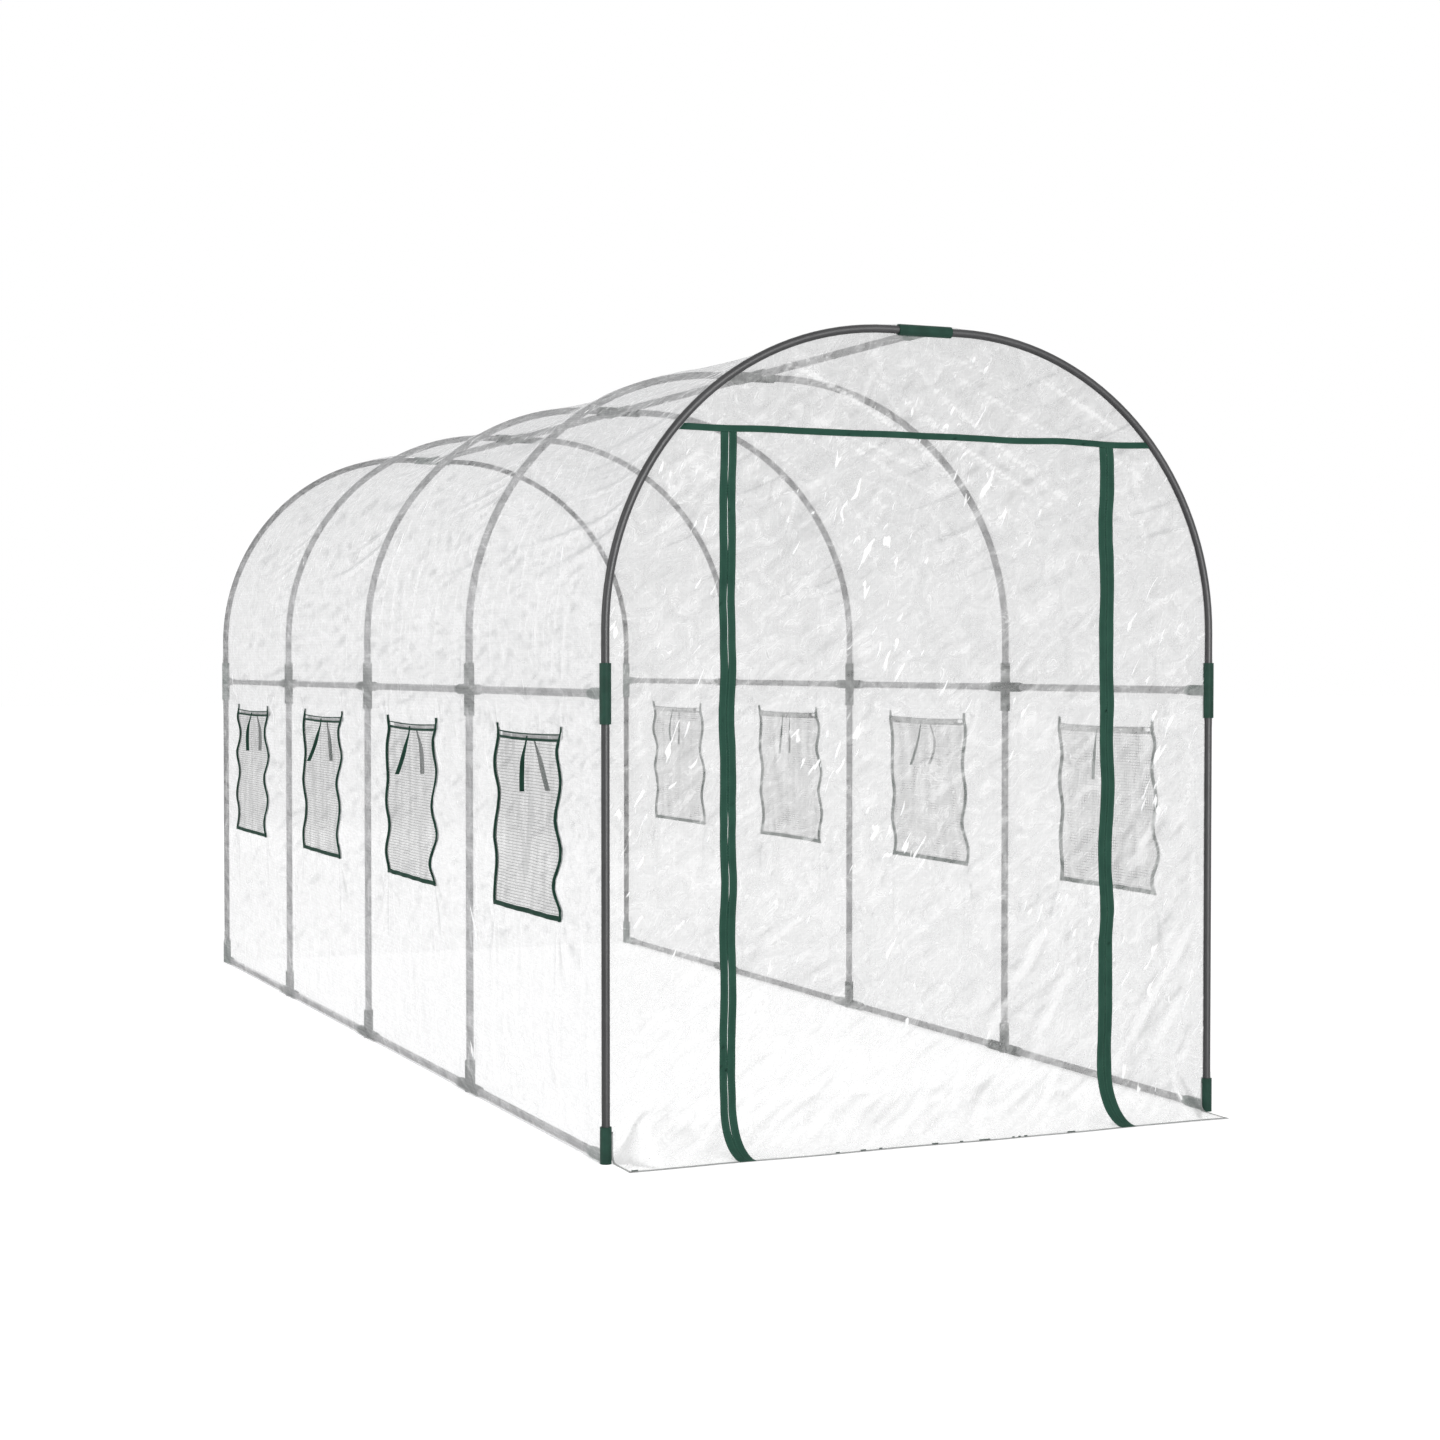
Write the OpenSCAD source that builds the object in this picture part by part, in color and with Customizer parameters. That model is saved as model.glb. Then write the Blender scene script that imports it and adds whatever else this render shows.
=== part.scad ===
// Walk-in polytunnel greenhouse. Five hoops of push-fit steel tube stand on feet and ground rails,
// tied by waist purlins and ridge bars, under a film cover with net windows and a zipped front door.
// Millimetres, +Z up, X across the tunnel, Y along it with the door at -Y.

/* [Hoops] */
// Width between the centrelines of a hoop's legs
hoop_w = 1690; // [1650:10:2400]
// Height of the crown tube's centreline above the ground
hoop_h = 2000; // [1700:10:2500]
// Centreline radius of the two bends of a hoop
bend_r = 743; // [500:1:760]
// Length of a bay, from hoop to hoop
bay_l = 1050; // [800:10:1500]
// Straight rise of a hoop from the waist purlins to its bends
riser_l = 150; // [90:1:300]

/* [Tubes] */
// Outer diameter of every tube
tube_d = 20; // [16:0.5:25]
// Wall of every tube
tube_wall = 0.8; // [0.6:0.1:2]

/* [Fittings] */
// Wall of a push-fit sleeve or socket
sleeve_wall = 3.8; // [2.5:0.1:5]
// Radial clearance of a tube in its socket
socket_clear = 0.2; // [0.1:0.05:0.5]
// Gap between a tube's end and the floor of its socket
end_gap = 0.3; // [0.1:0.1:1]
// Length of a waist sleeve
waist_sleeve_l = 144; // [100:1:148]
// Length of a crown sleeve
crown_sleeve_l = 146; // [100:1:160]
// Web between the two tubes that meet in a sleeve
stop_t = 6; // [3:0.5:12]
// Reach of a side socket from the hoop's axis
socket_reach = 96; // [60:1:130]
// Solid stretch between a hoop's axis and the floor of a side socket
socket_floor = 17; // [15:0.5:30]
// Length of the tapered nose of a side socket
nose_l = 14; // [6:1:25]
// Wall left at the tip of the nose
nose_wall = 1.8; // [1:0.1:2.4]
// Height of a foot
foot_h = 87; // [60:1:120]
// Depth of the flat that is cut under a foot
foot_flat = 1; // [0.5:0.1:2]
// Height of the floor of a foot's leg socket
foot_floor = 29; // [27:0.5:40]

/* [Cover] */
// Thickness of the film
film_t = 2; // [1:0.1:3]
// Gap between the film and what carries it
film_gap = 0.3; // [0.1:0.1:0.8]
// Radius in which the front film turns out over the ground
skirt_r = 120; // [60:1:200]

/* [Door] */
// Distance of a zip's centreline from the middle of the doorway
zip_x = 531; // [350:1:600]
// Width over both tapes of a zip
zip_w = 42; // [24:1:60]
// Width of the coil between the tapes
coil_w = 5; // [3:0.5:10]
// Height of the coil above the tapes
coil_h = 1.4; // [0.6:0.1:3]
// Film left between the hoop and each upper corner of the door
corner_film = 101; // [60:1:160]
// Height of the header band
header_h = 16; // [8:1:40]
// Thickness of the header band
header_t = 1.5; // [0.8:0.1:3]

/* [Windows] */
// Width of a window opening
window_w = 488; // [300:1:560]
// Height of a window opening
window_h = 440; // [250:5:500]
// Distance of a window's upper edge below the waist purlins
window_drop = 117; // [80:1:200]
// Thickness of a net screen
screen_t = 1; // [0.6:0.1:1]
// Width of the binding at the sides and the sill
binding_w = 11; // [6:0.5:20]
// Thickness of the binding
binding_t = 2; // [1:0.1:3]
// Height of the side bindings' ends above the window's upper edge
horn_h = 33; // [25:1:45]
// Height of the thin binding along the upper edge
top_line_h = 5; // [3:0.5:10]
// Diameter of the rolled-up flap
flap_d = 16; // [10:0.5:24]
// Width of a tie tape
tie_w = 12; // [8:0.5:20]
// Length of a tie tape below the window's upper edge
tie_l = 135; // [60:1:200]
// Thickness of a tie tape
tie_t = 1; // [0.6:0.1:2]

/* [Hidden] */
$fn = 96;

LEFT = -1;
RIGHT = 1;
BACKWARD = 1;
FORWARD = -1;
bays = 4;
first_hoop = 0;
last_hoop = bays;
inner_hoops = [for (i = [1 : bays - 1]) i];

leg_x = hoop_w / 2;
crown_flat = leg_x - bend_r;
spring_z = hoop_h - bend_r;
waist_z = spring_z - riser_l;
tube_r = tube_d / 2;
bore_r = tube_r + socket_clear;
sleeve_r = bore_r + sleeve_wall;
nose_r = bore_r + nose_wall;
rail_z = sleeve_r - foot_flat;

// Distances from a hoop's centreline to the faces of the film that it carries
film_in = sleeve_r + film_gap;
film_out = film_in + film_t;
gable_edge = tube_r + film_gap;
skirt_z = skirt_r + film_t / 2;

// The door's upper corners keep their distance from the bends, which sets the header band's height
door_half = zip_x + zip_w / 2;
corner_x = door_half + corner_film - crown_flat;
header_z = spring_z + sqrt(pow(bend_r - gable_edge, 2) - pow(corner_x, 2));

// The plan is centred between the skirt's front edge and the rear fittings
hoops_l = bays * bay_l;
front_y = skirt_r - (skirt_r + hoops_l + sleeve_r) / 2;
rear_y = front_y + hoops_l;

// Places of a window's edges, and of its layers as distances from the tunnel's mid-plane
window_top = waist_z - window_drop;
window_sill = window_top - window_h;
wall_in = leg_x + film_in;
wall_out = leg_x + film_out;
screen_in = wall_in + (film_t - screen_t) / 2;
binding_out = wall_out + binding_t;
flap_x = wall_in - film_gap - flap_d / 2;
flap_z = window_top + flap_d / 2;
inner_tie_x = flap_x - flap_d / 2 - film_gap - tie_t;

TUBE_COLOUR = [0.30, 0.30, 0.31];
FITTING_COLOUR = [0.15, 0.29, 0.24];
FILM_COLOUR = [0.94, 0.95, 0.95, 0.45];
ZIP_COLOUR = [0.12, 0.28, 0.22];
NET_COLOUR = [0.72, 0.76, 0.74, 0.6];
BINDING_COLOUR = [0.07, 0.21, 0.16];

function hoop_y(i) = front_y + i * bay_l;
function bay_y(i) = front_y + (i + 0.5) * bay_l;

// Tube wall as a flat ring
module tube_section() {
    difference() {
        circle(r = tube_r);
        circle(r = tube_r - tube_wall);
    }
}

// Straight tube that starts at the origin and runs up
module tube(length) {
    linear_extrude(length)
        tube_section();
}

// Straight tube along Y between two places
module tube_y(from, to) {
    translate([0, from, 0])
        rotate([-90, 0, 0])
            tube(to - from);
}

// Two legs of a hoop, from the feet to the stops of the waist sleeves
module hoop_legs(i) {
    bottom = foot_floor + end_gap;
    top = waist_z - stop_t / 2 - end_gap;
    color(TUBE_COLOUR)
        for (side = [LEFT, RIGHT])
            translate([side * leg_x, hoop_y(i), bottom])
                tube(top - bottom);
}

// One half of an arch: a riser from the waist sleeve, a quarter bend and a flat into the crown sleeve
module arch_tube() {
    riser_z = waist_z + stop_t / 2 + end_gap;
    tip_x = stop_t / 2 + end_gap;
    translate([leg_x, 0, riser_z])
        tube(spring_z - riser_z);
    translate([crown_flat, 0, spring_z])
        rotate([90, 0, 0])
            rotate_extrude(angle = 90)
                translate([bend_r, 0])
                    tube_section();
    translate([tip_x, 0, hoop_h])
        rotate([0, 90, 0])
            tube(crown_flat - tip_x);
}

// Two arch tubes of a hoop
module hoop_arch(i) {
    color(TUBE_COLOUR)
        translate([0, hoop_y(i), 0]) {
            arch_tube();
            mirror([1, 0, 0])
                arch_tube();
        }
}

// A row of tubes along Y, one a bay, seated in the side sockets of the hoops' fittings
module tube_row(x, z) {
    inset = socket_floor + end_gap;
    color(TUBE_COLOUR)
        for (i = [0 : bays - 1])
            translate([x, 0, z])
                tube_y(hoop_y(i) + inset, hoop_y(i + 1) - inset);
}

// Body of a side socket along +Y, tapered to its nose
module socket_body() {
    barrel = socket_reach - nose_l;
    rotate([-90, 0, 0]) {
        cylinder(r = sleeve_r, h = barrel);
        translate([0, 0, barrel])
            cylinder(r1 = sleeve_r, r2 = nose_r, h = nose_l);
    }
}

// Bore of a side socket along +Y
module socket_bore() {
    translate([0, socket_floor, 0])
        rotate([-90, 0, 0])
            cylinder(r = bore_r, h = socket_reach);
}

// Bores of a sleeve along Z, one from each end to the web in the middle
module sleeve_bores(length) {
    for (turn = [0, 180])
        rotate([turn, 0, 0])
            translate([0, 0, stop_t / 2])
                cylinder(r = bore_r, h = length);
}

// Sleeve along Z with a side socket towards each listed end of the tunnel
module sleeve_fitting(length, ends) {
    difference() {
        union() {
            cylinder(r = sleeve_r, h = length, center = true);
            for (end = ends)
                towards(end)
                    socket_body();
        }
        sleeve_bores(length);
        for (end = ends)
            towards(end)
                socket_bore();
    }
}

// Turns a shape that points along +Y towards the given end of the tunnel
module towards(end) {
    rotate([0, 0, end == BACKWARD ? 0 : 180])
        children();
}

// Fitting on the crown of a hoop
module ridge_fitting(i, ends) {
    color(FITTING_COLOUR)
        translate([0, hoop_y(i), hoop_h])
            rotate([0, 90, 0])
                sleeve_fitting(crown_sleeve_l, ends);
}

// Fitting at the waist of a hoop
module waist_fitting(i, side, ends) {
    color(FITTING_COLOUR)
        translate([side * leg_x, hoop_y(i), waist_z])
            sleeve_fitting(waist_sleeve_l, ends);
}

// Foot of a leg: an upright socket with side sockets for the ground rails, cut flat underneath
module foot(i, side, ends) {
    color(FITTING_COLOUR)
        translate([side * leg_x, hoop_y(i), 0])
            difference() {
                union() {
                    cylinder(r = sleeve_r, h = foot_h);
                    translate([0, 0, rail_z])
                        for (end = ends)
                            towards(end)
                                socket_body();
                }
                translate([0, 0, foot_floor])
                    cylinder(r = bore_r, h = foot_h);
                translate([0, 0, rail_z])
                    for (end = ends)
                        towards(end)
                            socket_bore();
                translate([-2 * sleeve_r, -2 * socket_reach, -2 * sleeve_r])
                    cube([4 * sleeve_r, 4 * socket_reach, 2 * sleeve_r]);
            }
}

// Outline of a hoop seen along the tunnel, grown from its centreline by the given distance
module hoop_outline(grow) {
    half_w = leg_x + grow;
    radius = bend_r + grow;
    translate([-half_w, 0])
        square([2 * half_w, spring_z]);
    for (side = [LEFT, RIGHT])
        translate([side * crown_flat, spring_z])
            circle(r = radius);
    translate([-crown_flat, spring_z])
        square([2 * crown_flat, radius]);
}

// Extrudes a shape drawn across the tunnel (X, Z) between two places along Y
module along_tunnel(from, to) {
    translate([0, to, 0])
        rotate([90, 0, 0])
            linear_extrude(to - from)
                children();
}

// Extrudes a shape drawn along the tunnel (Y, Z) between two places along X
module across_tunnel(from, to) {
    translate([from, 0, 0])
        rotate([90, 0, 90])
            linear_extrude(to - from)
                children();
}

// Side profile of the front film between two radii of its skirt, up to the given height
module front_profile(r_in, r_out, top) {
    translate([front_y - skirt_r, skirt_z]) {
        translate([r_in, 0])
            square([r_out - r_in, top - skirt_z]);
        intersection() {
            difference() {
                circle(r = r_out);
                circle(r = r_in);
            }
            translate([0, -r_out])
                square([r_out, r_out]);
        }
    }
}

// Strip of the front film between two places across the tunnel
module front_strip(from, to, top) {
    across_tunnel(from, to)
        front_profile(skirt_r - film_t / 2, skirt_r + film_t / 2, top);
}

// Room that the sleeves of an end hoop take from the film inside it
module sleeve_room(y) {
    room_r = sleeve_r + film_gap;
    translate([0, y, 0]) {
        for (side = [LEFT, RIGHT])
            translate([side * leg_x, 0, 0]) {
                cylinder(r = room_r, h = foot_h + film_gap);
                translate([0, 0, waist_z])
                    cylinder(r = room_r, h = waist_sleeve_l + 2 * film_gap, center = true);
            }
        translate([0, 0, hoop_h])
            rotate([0, 90, 0])
                cylinder(r = room_r, h = crown_sleeve_l + 2 * film_gap, center = true);
    }
}

// Flat side wall of the cover, with an opening for each window
module wall_film(side) {
    color(FILM_COLOUR)
        on_side(side)
            difference() {
                across_tunnel(wall_in, wall_out)
                    translate([front_y, 0])
                        square([hoops_l, spring_z]);
                window_row(wall_in - film_t, wall_out + film_t)
                    window_opening();
            }
}

// Puts a shape made for the right-hand wall on either side
module on_side(side) {
    if (side == RIGHT)
        children();
    else
        mirror([1, 0, 0])
            children();
}

// Repeats a flat window shape at the middle of every bay, between two distances from the mid-plane
module window_row(from, to) {
    for (i = [0 : bays - 1])
        across_tunnel(from, to)
            translate([bay_y(i), 0])
                children();
}

// Rectangle of a window opening, centred on its bay
module window_opening() {
    translate([-window_w / 2, window_sill])
        square([window_w, window_top - window_sill]);
}

// Binding of a window: two sides with horns, a sill and a thin line along the upper edge
module binding_outline() {
    half_w = window_w / 2;
    for (edge = [-half_w - binding_w / 2, half_w - binding_w / 2])
        translate([edge, window_sill - binding_w / 2])
            square([binding_w, window_top + horn_h - window_sill + binding_w / 2]);
    translate([-half_w, window_sill - binding_w / 2])
        square([window_w, binding_w]);
    translate([-half_w, window_top - top_line_h / 2])
        square([window_w, top_line_h]);
}

// Net screens in the window openings of one wall
module window_screens(side) {
    color(NET_COLOUR)
        on_side(side)
            window_row(screen_in, screen_in + screen_t)
                window_opening();
}

// Bindings sewn round the windows of one wall
module window_bindings(side) {
    color(BINDING_COLOUR)
        on_side(side)
            window_row(wall_out, binding_out)
                binding_outline();
}

// Film flaps, rolled up under the upper edge inside one wall
module window_flaps(side) {
    color(FILM_COLOUR)
        on_side(side)
            for (i = [0 : bays - 1])
                translate([flap_x, bay_y(i) - window_w / 2, flap_z])
                    rotate([-90, 0, 0])
                        cylinder(r = flap_d / 2, h = window_w);
}

// Tie tapes, one hanging outside and one inside each window of one wall
module window_ties(side) {
    color(BINDING_COLOUR)
        on_side(side) {
            window_row(binding_out, binding_out + tie_t)
                translate([-tie_w, window_top - tie_l])
                    square([tie_w, tie_l + top_line_h / 2]);
            window_row(inner_tie_x, inner_tie_x + tie_t)
                translate([0, window_top - tie_l])
                    square([tie_w, tie_l + flap_d]);
        }
}

// Zip of the door: two tapes in the plane of the film with a coil standing in front of them
module door_zip(side) {
    face_r = skirt_r - film_t / 2;
    middle = side * zip_x;
    color(ZIP_COLOUR) {
        front_strip(middle - zip_w / 2, middle + zip_w / 2, header_z);
        across_tunnel(middle - coil_w / 2, middle + coil_w / 2)
            front_profile(face_r - coil_h, face_r, header_z - header_h / 2);
    }
}

module front_legs() { hoop_legs(0); }
module second_legs() { hoop_legs(1); }
module third_legs() { hoop_legs(2); }
module fourth_legs() { hoop_legs(3); }
module rear_legs() { hoop_legs(4); }
module front_arch_tubes() { hoop_arch(0); }
module second_arch_tubes() { hoop_arch(1); }
module third_arch_tubes() { hoop_arch(2); }
module fourth_arch_tubes() { hoop_arch(3); }
module rear_arch_tubes() { hoop_arch(4); }

module left_waist_purlins() { tube_row(LEFT * leg_x, waist_z); }
module right_waist_purlins() { tube_row(RIGHT * leg_x, waist_z); }
module ridge_bars() { tube_row(0, hoop_h); }
module left_ground_rails() { tube_row(LEFT * leg_x, rail_z); }
module right_ground_rails() { tube_row(RIGHT * leg_x, rail_z); }

module front_ridge_tee() { ridge_fitting(first_hoop, [BACKWARD]); }
module inner_ridge_crosses() { for (i = inner_hoops) ridge_fitting(i, [FORWARD, BACKWARD]); }
module rear_ridge_tee() { ridge_fitting(last_hoop, [FORWARD]); }
module front_waist_tees() { for (side = [LEFT, RIGHT]) waist_fitting(first_hoop, side, [BACKWARD]); }
module left_waist_crosses() { for (i = inner_hoops) waist_fitting(i, LEFT, [FORWARD, BACKWARD]); }
module right_waist_crosses() { for (i = inner_hoops) waist_fitting(i, RIGHT, [FORWARD, BACKWARD]); }
module rear_waist_tees() { for (side = [LEFT, RIGHT]) waist_fitting(last_hoop, side, [FORWARD]); }
module front_corner_feet() { for (side = [LEFT, RIGHT]) foot(first_hoop, side, [BACKWARD]); }
module left_inner_feet() { for (i = inner_hoops) foot(i, LEFT, [FORWARD, BACKWARD]); }
module right_inner_feet() { for (i = inner_hoops) foot(i, RIGHT, [FORWARD, BACKWARD]); }
module rear_corner_feet() { for (side = [LEFT, RIGHT]) foot(last_hoop, side, [FORWARD]); }

module left_wall_film() { wall_film(LEFT); }
module right_wall_film() { wall_film(RIGHT); }

// Vault of the cover, from one springing line to the other
module roof_film() {
    color(FILM_COLOUR)
        along_tunnel(front_y, rear_y)
            intersection() {
                difference() {
                    hoop_outline(film_out);
                    hoop_outline(film_in);
                }
                translate([-hoop_w, spring_z])
                    square([2 * hoop_w, hoop_h]);
            }
}

// Front film inside the first hoop, with its skirt, cut out for the door and its zips
module front_gable_film() {
    color(FILM_COLOUR)
        difference() {
            intersection() {
                front_strip(-leg_x, leg_x, hoop_h);
                along_tunnel(front_y - 2 * skirt_r, front_y + skirt_r)
                    hoop_outline(-gable_edge);
            }
            translate([-door_half, front_y - 2 * skirt_r, -skirt_r])
                cube([2 * door_half, 3 * skirt_r, header_z + skirt_r]);
            sleeve_room(front_y);
        }
}

// Door panel between the zips, with its part of the skirt
module front_door_film() {
    panel_half = zip_x - zip_w / 2;
    color(FILM_COLOUR)
        front_strip(-panel_half, panel_half, header_z);
}

// Plain film inside the last hoop
module rear_gable_film() {
    color(FILM_COLOUR)
        difference() {
            along_tunnel(rear_y - film_t / 2, rear_y + film_t / 2)
                hoop_outline(-gable_edge);
            sleeve_room(rear_y);
        }
}

module left_door_zip() { door_zip(LEFT); }
module right_door_zip() { door_zip(RIGHT); }

// Band across the front film over the door, from tube to tube
module door_header_band() {
    face_y = front_y - film_t / 2;
    color(ZIP_COLOUR)
        along_tunnel(face_y - header_t, face_y)
            intersection() {
                hoop_outline(-gable_edge);
                translate([-leg_x, header_z - header_h / 2])
                    square([hoop_w, header_h]);
            }
}

module left_window_screens() { window_screens(LEFT); }
module right_window_screens() { window_screens(RIGHT); }
module left_window_bindings() { window_bindings(LEFT); }
module right_window_bindings() { window_bindings(RIGHT); }
module left_window_flaps() { window_flaps(LEFT); }
module right_window_flaps() { window_flaps(RIGHT); }
module left_window_ties() { window_ties(LEFT); }
module right_window_ties() { window_ties(RIGHT); }

front_legs();
second_legs();
third_legs();
fourth_legs();
rear_legs();
front_arch_tubes();
second_arch_tubes();
third_arch_tubes();
fourth_arch_tubes();
rear_arch_tubes();
left_waist_purlins();
right_waist_purlins();
ridge_bars();
left_ground_rails();
right_ground_rails();
front_ridge_tee();
inner_ridge_crosses();
rear_ridge_tee();
front_waist_tees();
left_waist_crosses();
right_waist_crosses();
rear_waist_tees();
front_corner_feet();
left_inner_feet();
right_inner_feet();
rear_corner_feet();
left_wall_film();
right_wall_film();
roof_film();
front_gable_film();
front_door_film();
rear_gable_film();
left_door_zip();
right_door_zip();
door_header_band();
left_window_screens();
right_window_screens();
left_window_bindings();
right_window_bindings();
left_window_flaps();
right_window_flaps();
left_window_ties();
right_window_ties();
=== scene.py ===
"""Looks of a walk-in polytunnel greenhouse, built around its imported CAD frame.

The tubes and the push-fit fittings keep their CAD meshes and take their finishes here. The cover,
the zipped front, the net windows and their bindings, rolled flaps and ties are soft, so they are
modelled here as draped sheets and sewn tapes that follow the frame.
"""

import logging
import math
from dataclasses import dataclass
from enum import Enum
from typing import Callable, Iterator, Sequence

import bmesh
import bpy
from bmesh.types import BMesh, BMVert
from bpy.types import Material, Node, NodeSocket, NodeTree, Object
from mathutils import Matrix, Vector, noise


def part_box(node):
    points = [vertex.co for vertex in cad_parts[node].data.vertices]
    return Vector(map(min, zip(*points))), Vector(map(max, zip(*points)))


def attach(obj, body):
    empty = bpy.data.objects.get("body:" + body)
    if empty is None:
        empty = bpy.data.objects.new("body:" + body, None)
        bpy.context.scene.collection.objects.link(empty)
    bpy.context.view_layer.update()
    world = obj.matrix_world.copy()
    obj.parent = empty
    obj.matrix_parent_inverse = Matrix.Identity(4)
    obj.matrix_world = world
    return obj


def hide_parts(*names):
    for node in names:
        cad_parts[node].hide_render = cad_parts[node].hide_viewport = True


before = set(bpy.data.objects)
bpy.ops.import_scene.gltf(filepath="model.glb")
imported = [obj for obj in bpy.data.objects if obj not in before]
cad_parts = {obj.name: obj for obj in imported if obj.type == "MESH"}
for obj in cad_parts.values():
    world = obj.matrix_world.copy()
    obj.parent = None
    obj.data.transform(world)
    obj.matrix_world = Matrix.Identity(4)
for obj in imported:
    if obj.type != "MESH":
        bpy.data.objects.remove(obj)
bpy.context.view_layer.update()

LOG = logging.getLogger("polytunnel")
MM = 0.001
BODY = "root"
WELD = 0.01 * MM
Pair = tuple[float, float]
Triple = tuple[float, float, float]


class Side(Enum):
    """Long side of the tunnel, seen from the door."""

    LEFT = -1
    RIGHT = 1

    @property
    def word(self) -> str:
        """Name of the side as the CAD nodes write it."""
        return self.name.lower()


class Slot(Enum):
    """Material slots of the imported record."""

    TUBE = "tube"
    FITTING = "fitting"
    FILM = "film"
    ZIP = "zip"
    NET = "net"
    BINDING = "binding"


def linear(colour: str) -> tuple[float, float, float, float]:
    """Turn an sRGB hex colour into the linear colour that a shader socket takes.

    Args:
        colour: Six hex digits after a hash.

    Returns:
        Linear red, green, blue and an alpha of one.
    """
    parts = [int(colour[i:i + 2], 16) / 255 for i in (1, 3, 5)]
    red, green, blue = (p / 12.92 if p <= 0.04045 else ((p + 0.055) / 1.055) ** 2.4 for p in parts)
    return red, green, blue, 1.0


def ease(value: float, start: float, end: float) -> float:
    """Rise smoothly from 0 at start to 1 at end.

    Args:
        value: Where on the ramp to look.
        start: Value at which the ramp leaves 0.
        end: Value at which it reaches 1.

    Returns:
        Height of the ramp, from 0 to 1.
    """
    t = min(1.0, max(0.0, (value - start) / (end - start)))
    return t * t * (3 - 2 * t)


def bell(value: float, width: float) -> float:
    """Bump of height 1 around 0 that dies away over the given width."""
    return math.exp(-((value / width) ** 2))


def ripple(*place: float) -> float:
    """Smooth noise, about -1 to 1, at a place in wavelengths; a constant there picks a pattern."""
    return 1.7 * noise.noise(Vector(place))


def ridged(*place: float) -> float:
    """Creased noise with sharp ridges, between about -0.7 and 0.3."""
    return 0.3 - abs(ripple(*place))


def stops(first: float, *runs: tuple[float, int]) -> list[float]:
    """Divide a line into runs of even steps.

    Args:
        first: Where the line starts.
        runs: End of each run and its number of steps.

    Returns:
        Every place on the line, ends included.
    """
    places = [first]
    for end, count in runs:
        start = places[-1]
        places += [start + (end - start) * (i + 1) / count for i in range(count)]
    return places


def add_node(tree: NodeTree, kind: str, inputs: dict | None = None, **settings: object) -> Node:
    """Add a node to a material with its settings and links.

    Args:
        tree: Node tree to add to.
        kind: Blender's name of the node type, without the ShaderNode that all start with.
        inputs: For each input by name or number, a socket to link or a constant to set.
        settings: Other properties of the node.

    Returns:
        The new node.
    """
    node = tree.nodes.new(f"ShaderNode{kind}")
    for key, value in settings.items():
        setattr(node, key, value)
    for key, value in (inputs or {}).items():
        if isinstance(value, NodeSocket):
            tree.links.new(value, node.inputs[key])
        else:
            node.inputs[key].default_value = value
    return node


# Sockets of the colour side of Blender's Mix node, whose names aren't unique
MIX_A, MIX_B, MIX_OUT = 6, 7, 2


def crossed_threads(
    tree: NodeTree, flat: NodeSocket, pitch: float, core: float, edge: float
) -> NodeSocket:
    """Draw threads both ways over a flat cut.

    Args:
        tree: Node tree to add to.
        flat: Flat place on the piece.
        pitch: Distance from thread to thread.
        core: Half width of a thread's full middle, as a share of the pitch.
        edge: Half width at which a thread ends, as a share of the pitch.

    Returns:
        A value of 1 on a thread and 0 between threads.
    """
    axes = add_node(tree, "SeparateXYZ", {0: flat})
    lines = []
    for axis in ("X", "Y"):
        steps = add_node(tree, "Math", {0: axes.outputs[axis], 1: pitch}, operation="DIVIDE")
        wave = add_node(tree, "Math", {0: steps.outputs[0], 1: 0.5}, operation="PINGPONG")
        line = add_node(tree, "MapRange",
                        {"Value": wave.outputs[0], "From Min": core, "From Max": edge,
                         "To Min": 1.0, "To Max": 0.0})
        lines.append(line.outputs[0])
    both = add_node(tree, "Math", {0: lines[0], 1: lines[1]}, operation="MAXIMUM")
    return both.outputs[0]


def drawn_line(tree: NodeTree, value: NodeSocket, level: float, wide: float) -> NodeSocket:
    """Draw a soft line where a value passes a level.

    Args:
        tree: Node tree to add to.
        value: Value that varies over the surface.
        level: Level at which the line runs.
        wide: Half width of the line, in the value's own measure.

    Returns:
        A value of 1 on the line that falls to 0 beside it.
    """
    off = add_node(tree, "Math", {0: value, 1: level}, operation="SUBTRACT")
    gap = add_node(tree, "Math", {0: off.outputs[0]}, operation="ABSOLUTE")
    line = add_node(tree, "MapRange",
                    {"Value": gap.outputs[0], "From Min": 0.0, "From Max": wide,
                     "To Min": 1.0, "To Max": 0.0})
    return line.outputs[0]


def add_shares(
    tree: NodeTree, total: NodeSocket, parts: Sequence[tuple[NodeSocket, float]]
) -> NodeSocket:
    """Add shares of several values to a total that stays between 0 and 1.

    Args:
        tree: Node tree to add to.
        total: Value to start from.
        parts: Each value and its share, which may be negative.

    Returns:
        The new total.
    """
    for part, share in parts:
        total = add_node(tree, "Math", {0: part, 1: share, 2: total},
                         operation="MULTIPLY_ADD", use_clamp=True).outputs[0]
    return total


def backdrop_rays(tree: NodeTree) -> NodeSocket:
    """Tell the rays that show the backdrop from those that only carry light.

    Args:
        tree: Node tree to add to.

    Returns:
        A value of 1 for rays from the camera, mirrored rays and rays through glass, 0 for others.
    """
    path = add_node(tree, "LightPath")
    seen = path.outputs["Is Camera Ray"]
    for ray in ("Is Glossy Ray", "Is Transmission Ray"):
        seen = add_node(tree, "Math", {0: seen, 1: path.outputs[ray]},
                        operation="MAXIMUM").outputs[0]
    return seen


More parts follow.
